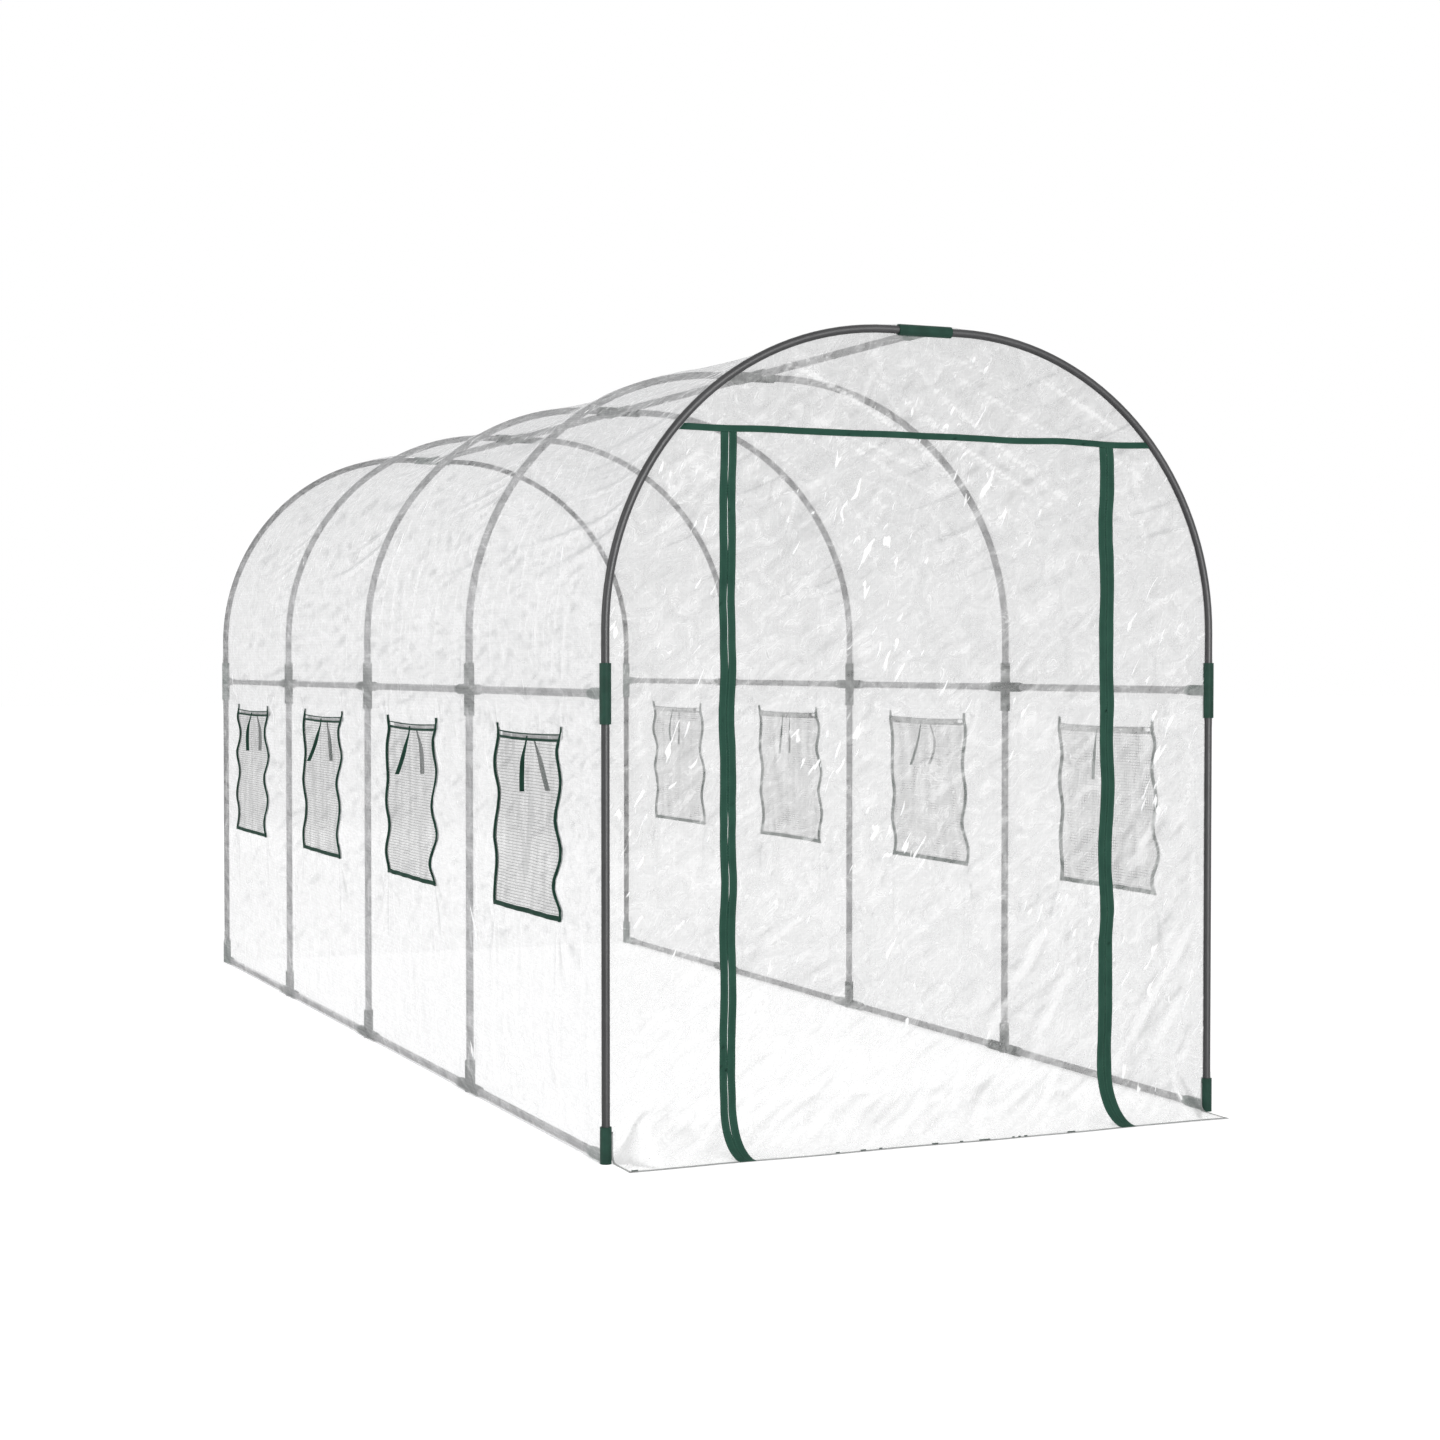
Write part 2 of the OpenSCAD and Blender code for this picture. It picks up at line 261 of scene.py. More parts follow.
@dataclass(frozen=True)
class Finish:
    """A surface finish that makes its Blender material once."""

    name: str
    slot: Slot

    def shade(self, tree: NodeTree) -> NodeSocket:
        """Add the finish's nodes and return its shader socket."""
        raise NotImplementedError

    def material(self) -> Material:
        """Make the material, or find it if it is made already.

        Returns:
            The material of this finish.
        """
        made = bpy.data.materials.get(self.name)
        if made is None:
            made = bpy.data.materials.new(self.name)
            made.use_nodes = True
            made.node_tree.nodes.clear()
            surface = self.shade(made.node_tree)
            add_node(made.node_tree, "OutputMaterial", {"Surface": surface})
        return made

    def dress(self, piece: Object) -> None:
        """Give a piece this finish alone."""
        piece.data.materials.clear()
        piece.data.materials.append(self.material())


@dataclass(frozen=True)
class PowderCoat(Finish):
    """Polyester powder coat on steel tube: satin, with a faint orange peel and dust in the grain."""

    colour: str
    worn: str
    grain: float

    # Dust lies in patches about 110 mm across
    PATCHES_PER_METRE = 9.0
    ROUGHNESS = (0.42, 0.5)
    PEEL_DEPTH = 0.25 * MM

    def shade(self, tree: NodeTree) -> NodeSocket:
        """Add the coat's nodes and return its shader socket."""
        place = add_node(tree, "TexCoord").outputs["Object"]
        # The peel is about 0.8 mm across, drawn coarser so that it shows
        peel = add_node(tree, "TexNoise", {"Vector": place, "Scale": 1 / self.grain, "Detail": 2.0})
        dust_and_painted_shade = add_node(tree, "TexNoise",
                        {"Vector": place, "Scale": self.PATCHES_PER_METRE, "Detail": 4.0,
                         "Roughness": 0.65})
        patches = add_node(tree, "MapRange",
                           {"Value": dust_and_painted_shade.outputs[0], "From Min": 0.35, "From Max": 0.75})
        colour = add_node(tree, "Mix",
                          {0: patches.outputs[0], MIX_A: linear(self.colour),
                           MIX_B: linear(self.worn)}, data_type="RGBA")
        gloss = add_node(tree, "MapRange",
                         {"Value": peel.outputs[0], "To Min": self.ROUGHNESS[0],
                          "To Max": self.ROUGHNESS[1]})
        bump = add_node(tree, "Bump",
                        {"Height": peel.outputs[0], "Strength": 0.2, "Distance": self.PEEL_DEPTH})
        shader = add_node(tree, "BsdfPrincipled",
                          {"Base Color": colour.outputs[MIX_OUT], "Roughness": gloss.outputs[0],
                           "Normal": bump.outputs[0], "IOR": 1.5, "Specular IOR Level": 0.35})
        return shader.outputs[0]


@dataclass(frozen=True)
class MouldedPlastic(Finish):
    """Injection-moulded polypropylene: even colour, satin, with a fine spark-eroded texture."""

    colour: str
    pale: str
    grain: float

    # Colour flows in patches about 33 mm across
    PATCHES_PER_METRE = 30.0
    ROUGHNESS = 0.55
    TEXTURE_DEPTH = 0.25 * MM

    def shade(self, tree: NodeTree) -> NodeSocket:
        """Add the plastic's nodes and return its shader socket."""
        place = add_node(tree, "TexCoord").outputs["Object"]
        # The eroded texture is about 0.3 mm, drawn coarser so that it shows
        spark = add_node(tree, "TexNoise",
                         {"Vector": place, "Scale": 1 / self.grain, "Detail": 1.0})
        flow = add_node(tree, "TexNoise",
                        {"Vector": place, "Scale": self.PATCHES_PER_METRE, "Detail": 3.0})
        tone = add_node(tree, "MapRange",
                        {"Value": flow.outputs[0], "From Min": 0.4, "From Max": 0.8})
        colour = add_node(tree, "Mix",
                          {0: tone.outputs[0], MIX_A: linear(self.colour),
                           MIX_B: linear(self.pale)}, data_type="RGBA")
        bump = add_node(tree, "Bump",
                        {"Height": spark.outputs[0], "Strength": 0.2,
                         "Distance": self.TEXTURE_DEPTH})
        shader = add_node(tree, "BsdfPrincipled",
                          {"Base Color": colour.outputs[MIX_OUT], "Roughness": self.ROUGHNESS,
                           "Normal": bump.outputs[0], "IOR": 1.49, "Specular IOR Level": 0.2})
        return shader.outputs[0]


@dataclass(frozen=True)
class Streak:
    """Noise that is stretched along a film: its length and width, its finer layers and its warp."""

    length: float
    width: float
    detail: float
    warp: float

    ROUGHNESS = 0.6

    def draw(self, tree: NodeTree, flat: NodeSocket, tilt: float, stretch: float) -> NodeSocket:
        """Add the noise's nodes.

        Args:
            tree: Node tree to add to.
            flat: Flat place on the film.
            tilt: Turn of the streaks in degrees.
            stretch: How many times longer the streaks are here.

        Returns:
            The noise, from 0 to 1.
        """
        turned = add_node(tree, "Mapping",
                          {"Vector": flat, "Rotation": (0.0, 0.0, math.radians(tilt)),
                           "Scale": (self.length * stretch, self.width, 1.0)},
                          vector_type="TEXTURE")
        streaks = add_node(tree, "TexNoise",
                           {"Vector": turned.outputs[0], "Scale": 1.0, "Detail": self.detail,
                            "Roughness": self.ROUGHNESS, "Distortion": self.warp},
                           noise_dimensions="2D")
        return streaks.outputs[0]


@dataclass(frozen=True)
class RipstopFilm(Finish):
    """Polyethylene film over a ripstop scrim: cloudy and see-through, with painted white highlights where
    it is creased and painted shade in its inward folds.
    """

    colour: str
    dull: str
    haze: float
    scrim: float
    grain_tilt: float
    glints: float
    # Share of painted shade that greys the film, and the band of heights over which it rises from the
    # first height to the second
    dust_and_painted_shade: float = 0.0
    painted_shade_heights: Pair = (1.15, 1.9)
    stretch: float = 1.0
    ground_clear: float = 0.0

    # Real spacing of the scrim's threads, and their width drawn coarser so that they show
    THREAD_PITCH = 10 * MM
    THREAD_WIDTH = 1.5 * MM
    # The cloudy patches, the drawn grain, the fine crinkles whose lines are painted highlight and shade,
    # and the painted glints
    CLOUD = Streak(80 * MM, 58 * MM, 4.0, 1.2)
    GRAIN = Streak(26 * MM, 13 * MM, 2.0, 1.6)
    CRINKLE = Streak(64 * MM, 40 * MM, 3.0, 1.5)
    GLINT_STREAK = Streak(66 * MM, 19 * MM, 1.0, 0.4)
    # The painted glints come in clusters about 0.3 m apart, and show over a level that their number
    # lowers
    GLINT_TILT = 64.0
    CLUSTERS_PER_METRE = 3.4
    GLINT_LEVELS = (1.12, 1.17)
    GLINT_LOWERING = 0.1
    # Levels of the crinkles' noise at which a painted highlight line and the painted shade line beside it
    # run
    CRINKLE_LEVELS = (0.5, 0.455)
    CRINKLE_LINE = 0.032
    # Half width of the pleats' painted shade lines and of the painted highlights on their lips, as a
    # share of the way to the next pleat
    PLEAT_LINE = 0.085
    PLEAT_LIP = 0.16
    # What the cloudy patches take from the film's cover or add to it
    CLOUD_COVER = (-0.14, 0.02)
    GRAIN_COVER = 0.12
    # What each mark adds to the film's cover and to its dullness. All are painted light and shade:
    # highlights on the crinkles' sheen line, the folds' crests, the pleats' lips and the glints, and
    # shade on the crinkles' shade line, the folds' grooves and the pleats' seam lines
    MARKS = {"sheen": (0.16, -0.45), "shade": (0.06, 0.45), "crest_highlight": (0.3, -1.0),
             "groove_shade": (0.2, 0.8), "seam": (0.5, 1.3), "lip_highlight": (0.12, -0.4), "glint": (0.6, -1.0)}
    # Height up to which the film of an end can be clearer
    CLEAR_TOP = 0.9
    # Heights of the relief that the patches, the grain and the threads draw
    RELIEF = (5 * MM, 0.8 * MM, 0.3 * MM)
    ROUGHNESS = 0.3
    # Share of the light that goes on through the film
    THROUGH = 0.35

    def shade(self, tree: NodeTree) -> NodeSocket:
        """Add the film's nodes and return its shader socket."""
        flat = add_node(tree, "UVMap", uv_map="flat").outputs[0]
        thread = crossed_threads(tree, flat, self.THREAD_PITCH, 0.0,
                                 self.THREAD_WIDTH / self.THREAD_PITCH)
        cloud = self.CLOUD.draw(tree, flat, self.grain_tilt, self.stretch)
        grain = self.GRAIN.draw(tree, flat, self.grain_tilt, self.stretch)
        marks = {**self.crinkles(tree, flat, cloud), **self.folds(tree), **self.pleats(tree),
                 "glint": self.glint(tree, flat)}
        place = add_node(tree, "TexCoord").outputs["Object"]
        height = add_node(tree, "SeparateXYZ", {0: place}).outputs["Z"]
        cover = add_node(tree, "MapRange",
                         {"Value": cloud, "From Min": 0.3, "From Max": 0.7,
                          "To Min": self.haze + self.CLOUD_COVER[0],
                          "To Max": self.haze + self.CLOUD_COVER[1]}).outputs[0]
        low = add_node(tree, "MapRange",
                       {"Value": height, "From Min": 0.0, "From Max": self.CLEAR_TOP,
                        "To Min": 1.0, "To Max": 0.0}).outputs[0]
        cover = add_shares(tree, cover, [
            (low, -self.ground_clear), (grain, self.GRAIN_COVER), (thread, self.scrim),
            *((marks[name], share) for name, (share, _) in self.MARKS.items())])
        grey = add_node(tree, "MapRange",
                        {"Value": cloud, "From Min": 0.32, "From Max": 0.68,
                         "To Min": 0.6, "To Max": 0.0}).outputs[0]
        # Painted shade greys the film over its band of heights
        painted_height_shade = add_node(tree, "MapRange",
                           {"Value": height, "From Min": self.painted_shade_heights[0],
                            "From Max": self.painted_shade_heights[1]}).outputs[0]
        grey = add_shares(tree, grey, [
            (painted_height_shade, self.dust_and_painted_shade),
            *((marks[name], share) for name, (_, share) in self.MARKS.items())])
        tone = add_node(tree, "Mix",
                        {0: grey, MIX_A: linear(self.colour), MIX_B: linear(self.dull)},
                        data_type="RGBA")
        # Painted glints, bright highlights, turn the colour white
        colour = add_node(tree, "Mix",
                          {0: marks["glint"], MIX_A: tone.outputs[MIX_OUT],
                           MIX_B: linear("#ffffff")}, data_type="RGBA").outputs[MIX_OUT]
        relief = None
        for part, tall in zip((cloud, grain, thread), self.RELIEF):
            above = {"Normal": relief} if relief else {}
            relief = add_node(tree, "Bump", {"Height": part, "Strength": 0.5, "Distance": tall,
                                             **above}).outputs[0]
        front = add_node(tree, "BsdfPrincipled",
                         {"Base Color": colour, "Roughness": self.ROUGHNESS, "IOR": 1.5,
                          "Normal": relief})
        through = add_node(tree, "BsdfTranslucent", {"Color": colour, "Normal": relief})
        body = add_node(tree, "MixShader",
                        {0: self.THROUGH, 1: front.outputs[0], 2: through.outputs[0]})
        clear = add_node(tree, "BsdfTransparent")
        film = add_node(tree, "MixShader", {0: cover, 1: clear.outputs[0], 2: body.outputs[0]})
        return film.outputs[0]

    def crinkles(self, tree: NodeTree, flat: NodeSocket, cloud: NodeSocket) -> dict[str, NodeSocket]:
        """Paint the highlight and shade lines of fine crinkles, which break off where the film is clear.

        Args:
            tree: Node tree to add to.
            flat: Flat place on the film.
            cloud: Noise of the cloudy patches.

        Returns:
            Painted highlight line and painted shade line of the crinkles.
        """
        level = self.CRINKLE.draw(tree, flat, self.grain_tilt, self.stretch)
        broken = add_node(tree, "MapRange", {"Value": cloud, "From Min": 0.4, "From Max": 0.6})
        return {
            name: add_node(tree, "Math",
                           {0: drawn_line(tree, level, at, self.CRINKLE_LINE),
                            1: broken.outputs[0]}, operation="MULTIPLY").outputs[0]
            for name, at in zip(("sheen", "shade"), self.CRINKLE_LEVELS)}

    def folds(self, tree: NodeTree) -> dict[str, NodeSocket]:
        """Read how sharply a sheet is folded, to paint a highlight on outward creases and shade in inward
        ones.

        Args:
            tree: Node tree to add to.

        Returns:
            Painted highlight on the folds' crests and painted shade in their grooves.
        """
        fold = add_node(tree, "Attribute", attribute_name="fold").outputs["Fac"]
        return {
            name: add_node(tree, "MapRange",
                           {"Value": fold, "From Min": 0.15 * way, "From Max": way}).outputs[0]
            for name, way in (("crest_highlight", 1.0), ("groove_shade", -1.0))}

    def pleats(self, tree: NodeTree) -> dict[str, NodeSocket]:
        """Paint the cover's pleats, numbered along the hoop: a thin line of painted shade, with the
        pleats' lips under it lit by a painted highlight.

        Args:
            tree: Node tree to add to.

        Returns:
            Painted shade lines and painted highlights on the lips of the pleats.
        """
        pleat = add_node(tree, "Attribute", attribute_name="pleat").outputs["Fac"]
        depth = add_node(tree, "Attribute", attribute_name="pleat_depth").outputs["Fac"]
        nearest = add_node(tree, "Math", {0: pleat}, operation="ROUND")
        beside = add_node(tree, "Math", {0: pleat, 1: nearest.outputs[0]},
                          operation="SUBTRACT").outputs[0]
        return {
            name: add_node(tree, "Math",
                           {0: drawn_line(tree, beside, shift, wide), 1: depth},
                           operation="MULTIPLY").outputs[0]
            for name, shift, wide in (("seam", 0.0, self.PLEAT_LINE),
                                      ("lip_highlight", self.PLEAT_LIP, self.PLEAT_LIP))}

    def glint(self, tree: NodeTree, flat: NodeSocket) -> NodeSocket:
        """Paint the glints, small bright highlights.

        Args:
            tree: Node tree to add to.
            flat: Flat place on the film.

        Returns:
            A value of 1 on a painted glint.
        """
        glint_noise = self.GLINT_STREAK.draw(tree, flat, self.GLINT_TILT, self.stretch)
        cluster = add_node(tree, "TexNoise",
                           {"Vector": flat, "Scale": self.CLUSTERS_PER_METRE, "Detail": 1.0},
                           noise_dimensions="2D")
        crowd = add_node(tree, "Math", {0: cluster.outputs[0], 1: 0.5, 2: glint_noise},
                         operation="MULTIPLY_ADD")
        start, full = (level - self.GLINT_LOWERING * self.glints for level in self.GLINT_LEVELS)
        return add_node(tree, "MapRange",
                        {"Value": crowd.outputs[0], "From Min": start, "From Max": full}).outputs[0]


@dataclass(frozen=True)
class InsectNet(Finish):
    """Woven polyethylene net: grey, half see-through, with fine threads both ways."""

    colour: str
    thread: str
    haze: float

    # The real mesh is about 1.3 mm, drawn coarser so that its threads show
    PITCH = 8 * MM
    # Half width of a thread, where it is full and where it ends, as a share of the pitch
    THREAD = (0.06, 0.2)
    THREAD_COVER = 0.42
    # Width and length of the streaks where the net is pulled, and how much they change its cover
    PULL = (40 * MM, 210 * MM, 1.0)
    PULL_COVER = 0.16
    THREAD_DEPTH = 0.4 * MM

    def shade(self, tree: NodeTree) -> NodeSocket:
        """Add the net's nodes and return its shader socket."""
        flat = add_node(tree, "UVMap", uv_map="flat").outputs[0]
        weave = crossed_threads(tree, flat, self.PITCH, *self.THREAD)
        pulled = add_node(tree, "Mapping", {"Vector": flat, "Scale": self.PULL},
                          vector_type="TEXTURE")
        streak = add_node(tree, "TexNoise",
                          {"Vector": pulled.outputs[0], "Scale": 1.0, "Detail": 3.0})
        veil = add_node(tree, "MapRange",
                        {"Value": streak.outputs[0], "From Min": 0.3, "From Max": 0.7,
                         "To Min": self.haze + self.PULL_COVER,
                         "To Max": self.haze - self.PULL_COVER})
        cover = add_shares(tree, veil.outputs[0], [(weave, self.THREAD_COVER)])
        colour = add_node(tree, "Mix",
                          {0: weave, MIX_A: linear(self.colour),
                           MIX_B: linear(self.thread)}, data_type="RGBA")
        bump = add_node(tree, "Bump",
                        {"Height": weave, "Strength": 0.4, "Distance": self.THREAD_DEPTH})
        cloth = add_node(tree, "BsdfPrincipled",
                         {"Base Color": colour.outputs[MIX_OUT], "Roughness": 0.75,
                          "Normal": bump.outputs[0], "Specular IOR Level": 0.2})
        clear = add_node(tree, "BsdfTransparent")
        net = add_node(tree, "MixShader", {0: cover, 1: clear.outputs[0], 2: cloth.outputs[0]})
        return net.outputs[0]


@dataclass(frozen=True)
class WovenTape(Finish):
    """Woven polyester tape: matt, with a fine twill and a stitch line near each edge."""

    colour: str
    pale: str
    width: float
    stitch: str

    # Twill rib of about 0.7 mm and stitches of about 3 mm, both drawn coarser so that they show
    RIB = 2.4 * MM
    RIB_DEPTH = 0.3 * MM
    STITCH = 7 * MM
    # Half width of a stitch, and its share of the way to the next
    STITCH_LINE = 0.6 * MM
    STITCH_SHARE = 0.65
    # Wear lies in patches about 40 mm across
    PATCHES_PER_METRE = 25.0

    def shade(self, tree: NodeTree) -> NodeSocket:
        """Add the tape's nodes and return its shader socket."""
        flat = add_node(tree, "UVMap", uv_map="flat").outputs[0]
        axes = add_node(tree, "SeparateXYZ", {0: flat})
        slant = add_node(tree, "Math",
                         {0: axes.outputs["X"], 1: axes.outputs["Y"]}, operation="ADD")
        ribs = add_node(tree, "Math", {0: slant.outputs[0], 1: self.RIB}, operation="DIVIDE")
        twill = add_node(tree, "Math", {0: ribs.outputs[0], 1: 0.5}, operation="PINGPONG")
        place = add_node(tree, "TexCoord").outputs["Object"]
        wear = add_node(tree, "TexNoise",
                        {"Vector": place, "Scale": self.PATCHES_PER_METRE, "Detail": 3.0})
        tone = add_node(tree, "Math",
                        {0: twill.outputs[0], 1: 0.7, 2: wear.outputs[0]},
                        operation="MULTIPLY_ADD")
        fade = add_node(tree, "MapRange",
                        {"Value": tone.outputs[0], "From Min": 0.4, "From Max": 1.0})
        cloth = add_node(tree, "Mix",
                         {0: fade.outputs[0], MIX_A: linear(self.colour),
                          MIX_B: linear(self.pale)}, data_type="RGBA")
        # Stitches run along the tape, a sixth of its width in from each edge
        across = add_node(tree, "Math", {0: axes.outputs["X"]}, operation="ABSOLUTE")
        off = add_node(tree, "Math",
                       {0: across.outputs[0], 1: self.width / 3}, operation="SUBTRACT")
        near = add_node(tree, "Math", {0: off.outputs[0]}, operation="ABSOLUTE")
        row = add_node(tree, "Math", {0: near.outputs[0], 1: self.STITCH_LINE},
                       operation="LESS_THAN")
        paces = add_node(tree, "Math", {0: axes.outputs["Y"], 1: self.STITCH}, operation="DIVIDE")
        pace = add_node(tree, "Math", {0: paces.outputs[0]}, operation="FRACT")
        sewn = add_node(tree, "Math", {0: pace.outputs[0], 1: self.STITCH_SHARE},
                        operation="LESS_THAN")
        stitches = add_node(tree, "Math", {0: row.outputs[0], 1: sewn.outputs[0]},
                            operation="MULTIPLY")
        colour = add_node(tree, "Mix",
                          {0: stitches.outputs[0], MIX_A: cloth.outputs[MIX_OUT],
                           MIX_B: linear(self.stitch)}, data_type="RGBA")
        bump = add_node(tree, "Bump",
                        {"Height": twill.outputs[0], "Strength": 0.4,
                         "Distance": self.RIB_DEPTH})
        shader = add_node(tree, "BsdfPrincipled",
                          {"Base Color": colour.outputs[MIX_OUT], "Roughness": 0.78,
                           "Normal": bump.outputs[0], "Specular IOR Level": 0.15})
        return shader.outputs[0]


@dataclass(frozen=True)
class StudioPaper(Finish):
    """Matt paper floor that shows white to the camera and still takes the object's shadow."""

    colour: str
    lift: float

    def shade(self, tree: NodeTree) -> NodeSocket:
        """Add the paper's nodes and return its shader socket."""
        lift = add_node(tree, "Math", {0: backdrop_rays(tree), 1: self.lift}, operation="MULTIPLY")
        paper = add_node(tree, "BsdfDiffuse", {"Color": linear(self.colour)})
        glow = add_node(tree, "Emission", {"Strength": lift.outputs[0]})
        both = add_node(tree, "AddShader", {0: paper.outputs[0], 1: glow.outputs[0]})
        return both.outputs[0]


TUBE_COAT = PowderCoat("powder_coated_steel", Slot.TUBE, "#222223", "#2c2c2d", 3.5 * MM)
FITTING_PLASTIC = MouldedPlastic("moulded_polypropylene", Slot.FITTING, "#1a382e", "#224439",
                                 2.5 * MM)
# The same tube and plastic under the cover, toned to show through the film as in the photograph: the tube
# coat is a copy painted lighter (painted light) and the plastic a copy painted darker (painted shade)
PAINTED_LIGHT_INNER_COAT = PowderCoat("powder_coated_steel_under_film", Slot.TUBE, "#7a7a7b", "#8c8c8d", 3.5 * MM)
PAINTED_SHADE_INNER_PLASTIC = MouldedPlastic("moulded_polypropylene_under_film", Slot.FITTING, "#10201a",
                               "#182b23", 2.5 * MM)
# The cover takes painted shade high on its roof, the front film painted shade towards its top
COVER_FILM = RipstopFilm("ripstop_cover_film", Slot.FILM, "#f4f4f5", "#c8c9ca", 0.39, 0.11, 12.0,
                         0.3, dust_and_painted_shade=0.5, painted_shade_heights=(1.3, 1.95), stretch=1.9)
REAR_FILM = RipstopFilm("ripstop_rear_film", Slot.FILM, "#f4f4f4", "#aeafb0", 0.35, 0.06, 60.0, 0.9,
                        ground_clear=0.2)
FRONT_FILM = RipstopFilm("ripstop_front_film", Slot.FILM, "#f8f8f8", "#b8b8b8", 0.39, 0.05, 48.0,
                         0.95, dust_and_painted_shade=0.22, painted_shade_heights=(0.1, 1.4), ground_clear=0.08)
# The rolled flaps are the same film in two copies: grey with painted shade on the left, paler and clearer
# with painted light on the right
PAINTED_SHADE_ROLL = RipstopFilm("rolled_ripstop_film_painted_shade", Slot.FILM, "#a6a8a7", "#8b8d8c", 0.94, 0.05,
                          10.0, 0.0)
PAINTED_LIGHT_ROLL = RipstopFilm("rolled_film_painted_light", Slot.FILM, "#dadbda", "#c3c5c4", 0.6, 0.05, 10.0, 0.0)
HEM_FILM = RipstopFilm("welded_film_hem", Slot.FILM, "#bdbfbe", "#a4a6a5", 0.75, 0.15, 0.0, 0.0)
WINDOW_NET = InsectNet("woven_insect_net", Slot.NET, "#bcbcbc", "#767777", 0.34)
ZIP_TAPE = WovenTape("woven_zip_tape", Slot.ZIP, "#204136", "#2a4e41", 20 * MM, "#375c4d")
ZIP_COIL = MouldedPlastic("moulded_nylon_coil", Slot.ZIP, "#dfe5e2", "#f1f4f2", 2 * MM)
SEWN_BINDING = WovenTape("woven_binding_tape", Slot.BINDING, "#0f2c22", "#173a2e", 10 * MM,
                         "#26493c")
HEM_THREAD = WovenTape("sewing_thread", Slot.BINDING, "#4a5451", "#636d69", 3 * MM, "#3c4542")
FLOOR_PAPER = StudioPaper("matt_studio_paper", Slot.FILM, "#e6e6e6", 0.55)


def finished_piece(
    name: str, mesh: BMesh, finish: Finish, nodes: Sequence[str] = (), turned: bool = False
) -> Object:
    """Turn a bmesh into a smooth-shaded piece that rides on the frame.

    Args:
        name: Name of the piece.
        mesh: Shape in the row frame, freed here.
        finish: Finish of the whole piece.
        nodes: CAD nodes that the piece stands for.
        turned: Whether its faces already point the right way.

    Returns:
        The new object.
    """
    if not turned:
        bmesh.ops.recalc_face_normals(mesh, faces=mesh.faces)
    data = bpy.data.meshes.new(name)
    for face in mesh.faces:
        face.smooth = True
    mesh.to_mesh(data)
    mesh.free()
    piece = bpy.data.objects.new(name, data)
    bpy.context.scene.collection.objects.link(piece)
    finish.dress(piece)
    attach(piece, BODY)
    if nodes:
        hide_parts(*nodes)
    LOG.info("%s: %d faces, %s", name, len(data.polygons), finish.name)
    return piece


def turn_faces(mesh: BMesh, way: Vector) -> None:
    """Turn a sheet's faces so that on the whole they point the given way."""
    bmesh.ops.recalc_face_normals(mesh, faces=mesh.faces)
    if sum(face.normal.dot(way) for face in mesh.faces) < 0:
        bmesh.ops.reverse_faces(mesh, faces=mesh.faces)


def add_sheet(
    mesh: BMesh,
    across: Sequence[float],
    along: Sequence[float],
    place: Callable[[float, float], Vector],
    keep: Callable[[float, float], bool] | None = None,
) -> list[BMVert]:
    """Lay a grid out flat, cut it and move it to its place, with its flat cut as its UV map.

    Args:
        mesh: Mesh to add to.
        across: Flat places of the columns, in metres.
        along: Flat places of the rows, in metres.
        place: Gives the point in the row frame of a flat place.
        keep: Says whether the cell around a flat place belongs to the cut.

    Returns:
        The sheet's vertices.
    """
    flat = mesh.loops.layers.uv.get("flat") or mesh.loops.layers.uv.new("flat")
    columns, rows = len(across) - 1, len(along) - 1
    grid = bmesh.ops.create_grid(mesh, x_segments=columns, y_segments=rows, size=1.0)["verts"]
    cells = dict.fromkeys(face for vert in grid for face in vert.link_faces)
    spare = []
    for face in cells:
        cut = []
        for loop in face.loops:
            i = round((loop.vert.co.x + 1) / 2 * columns)
            j = round((loop.vert.co.y + 1) / 2 * rows)
            loop[flat].uv = (across[i], along[j])
            cut.append((across[i], along[j]))
        middle = [sum(c[k] for c in cut) / len(cut) for k in (0, 1)]
        if keep is not None and not keep(*middle):
            spare.append(face)
    for vert in grid:
        i = round((vert.co.x + 1) / 2 * columns)
        j = round((vert.co.y + 1) / 2 * rows)
        vert.co = place(across[i], along[j])
    if spare:
        bmesh.ops.delete(mesh, geom=spare, context="FACES")
    return [vert for vert in grid if vert.is_valid]


def add_tape(
    mesh: BMesh,
    width: float,
    thick: float,
    along: Sequence[float],
    place: Callable[[float, float, float], Vector],
) -> None:
    """Add a flat woven tape with a slight crown, closed all round.

    Args:
        mesh: Mesh to add to.
        width: Width of the tape.
        thick: Thickness of the tape.
        along: Places of the rows along the tape.
        place: Gives the point for a place across, along and proud of the tape's path.
    """
    half = width / 2
    across = [-half, -0.82 * half, 0.0, 0.82 * half, half]

    def crowned(u: float, v: float) -> Vector:
        """Point on the tape's face, lower at its two edges."""
        return place(u, v, thick * (1.0 if abs(u) < 0.9 * half else 0.55))

    verts = add_sheet(mesh, across, along, crowned)
    faces = list(dict.fromkeys(face for vert in verts for face in vert.link_faces))
    bmesh.ops.solidify(mesh, geom=faces, thickness=thick)


def add_piping(
    mesh: BMesh,
    width: float,
    thick: float,
    along: Sequence[float],
    place: Callable[[float, float, float], Vector],
    sides: int = 10,
) -> None:
    """Add a rounded sewn edge with an oval section and closed ends.

    Args:
        mesh: Mesh to add to.
        width: Width of the oval along the film.
        thick: Thickness of the oval across the film.
        along: Places of the rings along the edge.
        place: Gives the point for a place across, along and proud of the edge's path.
        sides: Number of sides of the oval.
    """
    girth = math.pi * (width + thick) / 2

    def around(u: float, v: float) -> Vector:
        """Point on the oval, whose girth is laid out flat."""
        angle = 2 * math.pi * u / girth
        return place(width / 2 * math.cos(angle), v, thick / 2 * math.sin(angle))

    verts = add_sheet(mesh, stops(0.0, (girth, sides)), along, around)
    bmesh.ops.remove_doubles(mesh, verts=verts, dist=WELD)
    rims = [edge for edge in mesh.edges if edge.is_boundary]
    bmesh.ops.holes_fill(mesh, edges=rims, sides=sides)


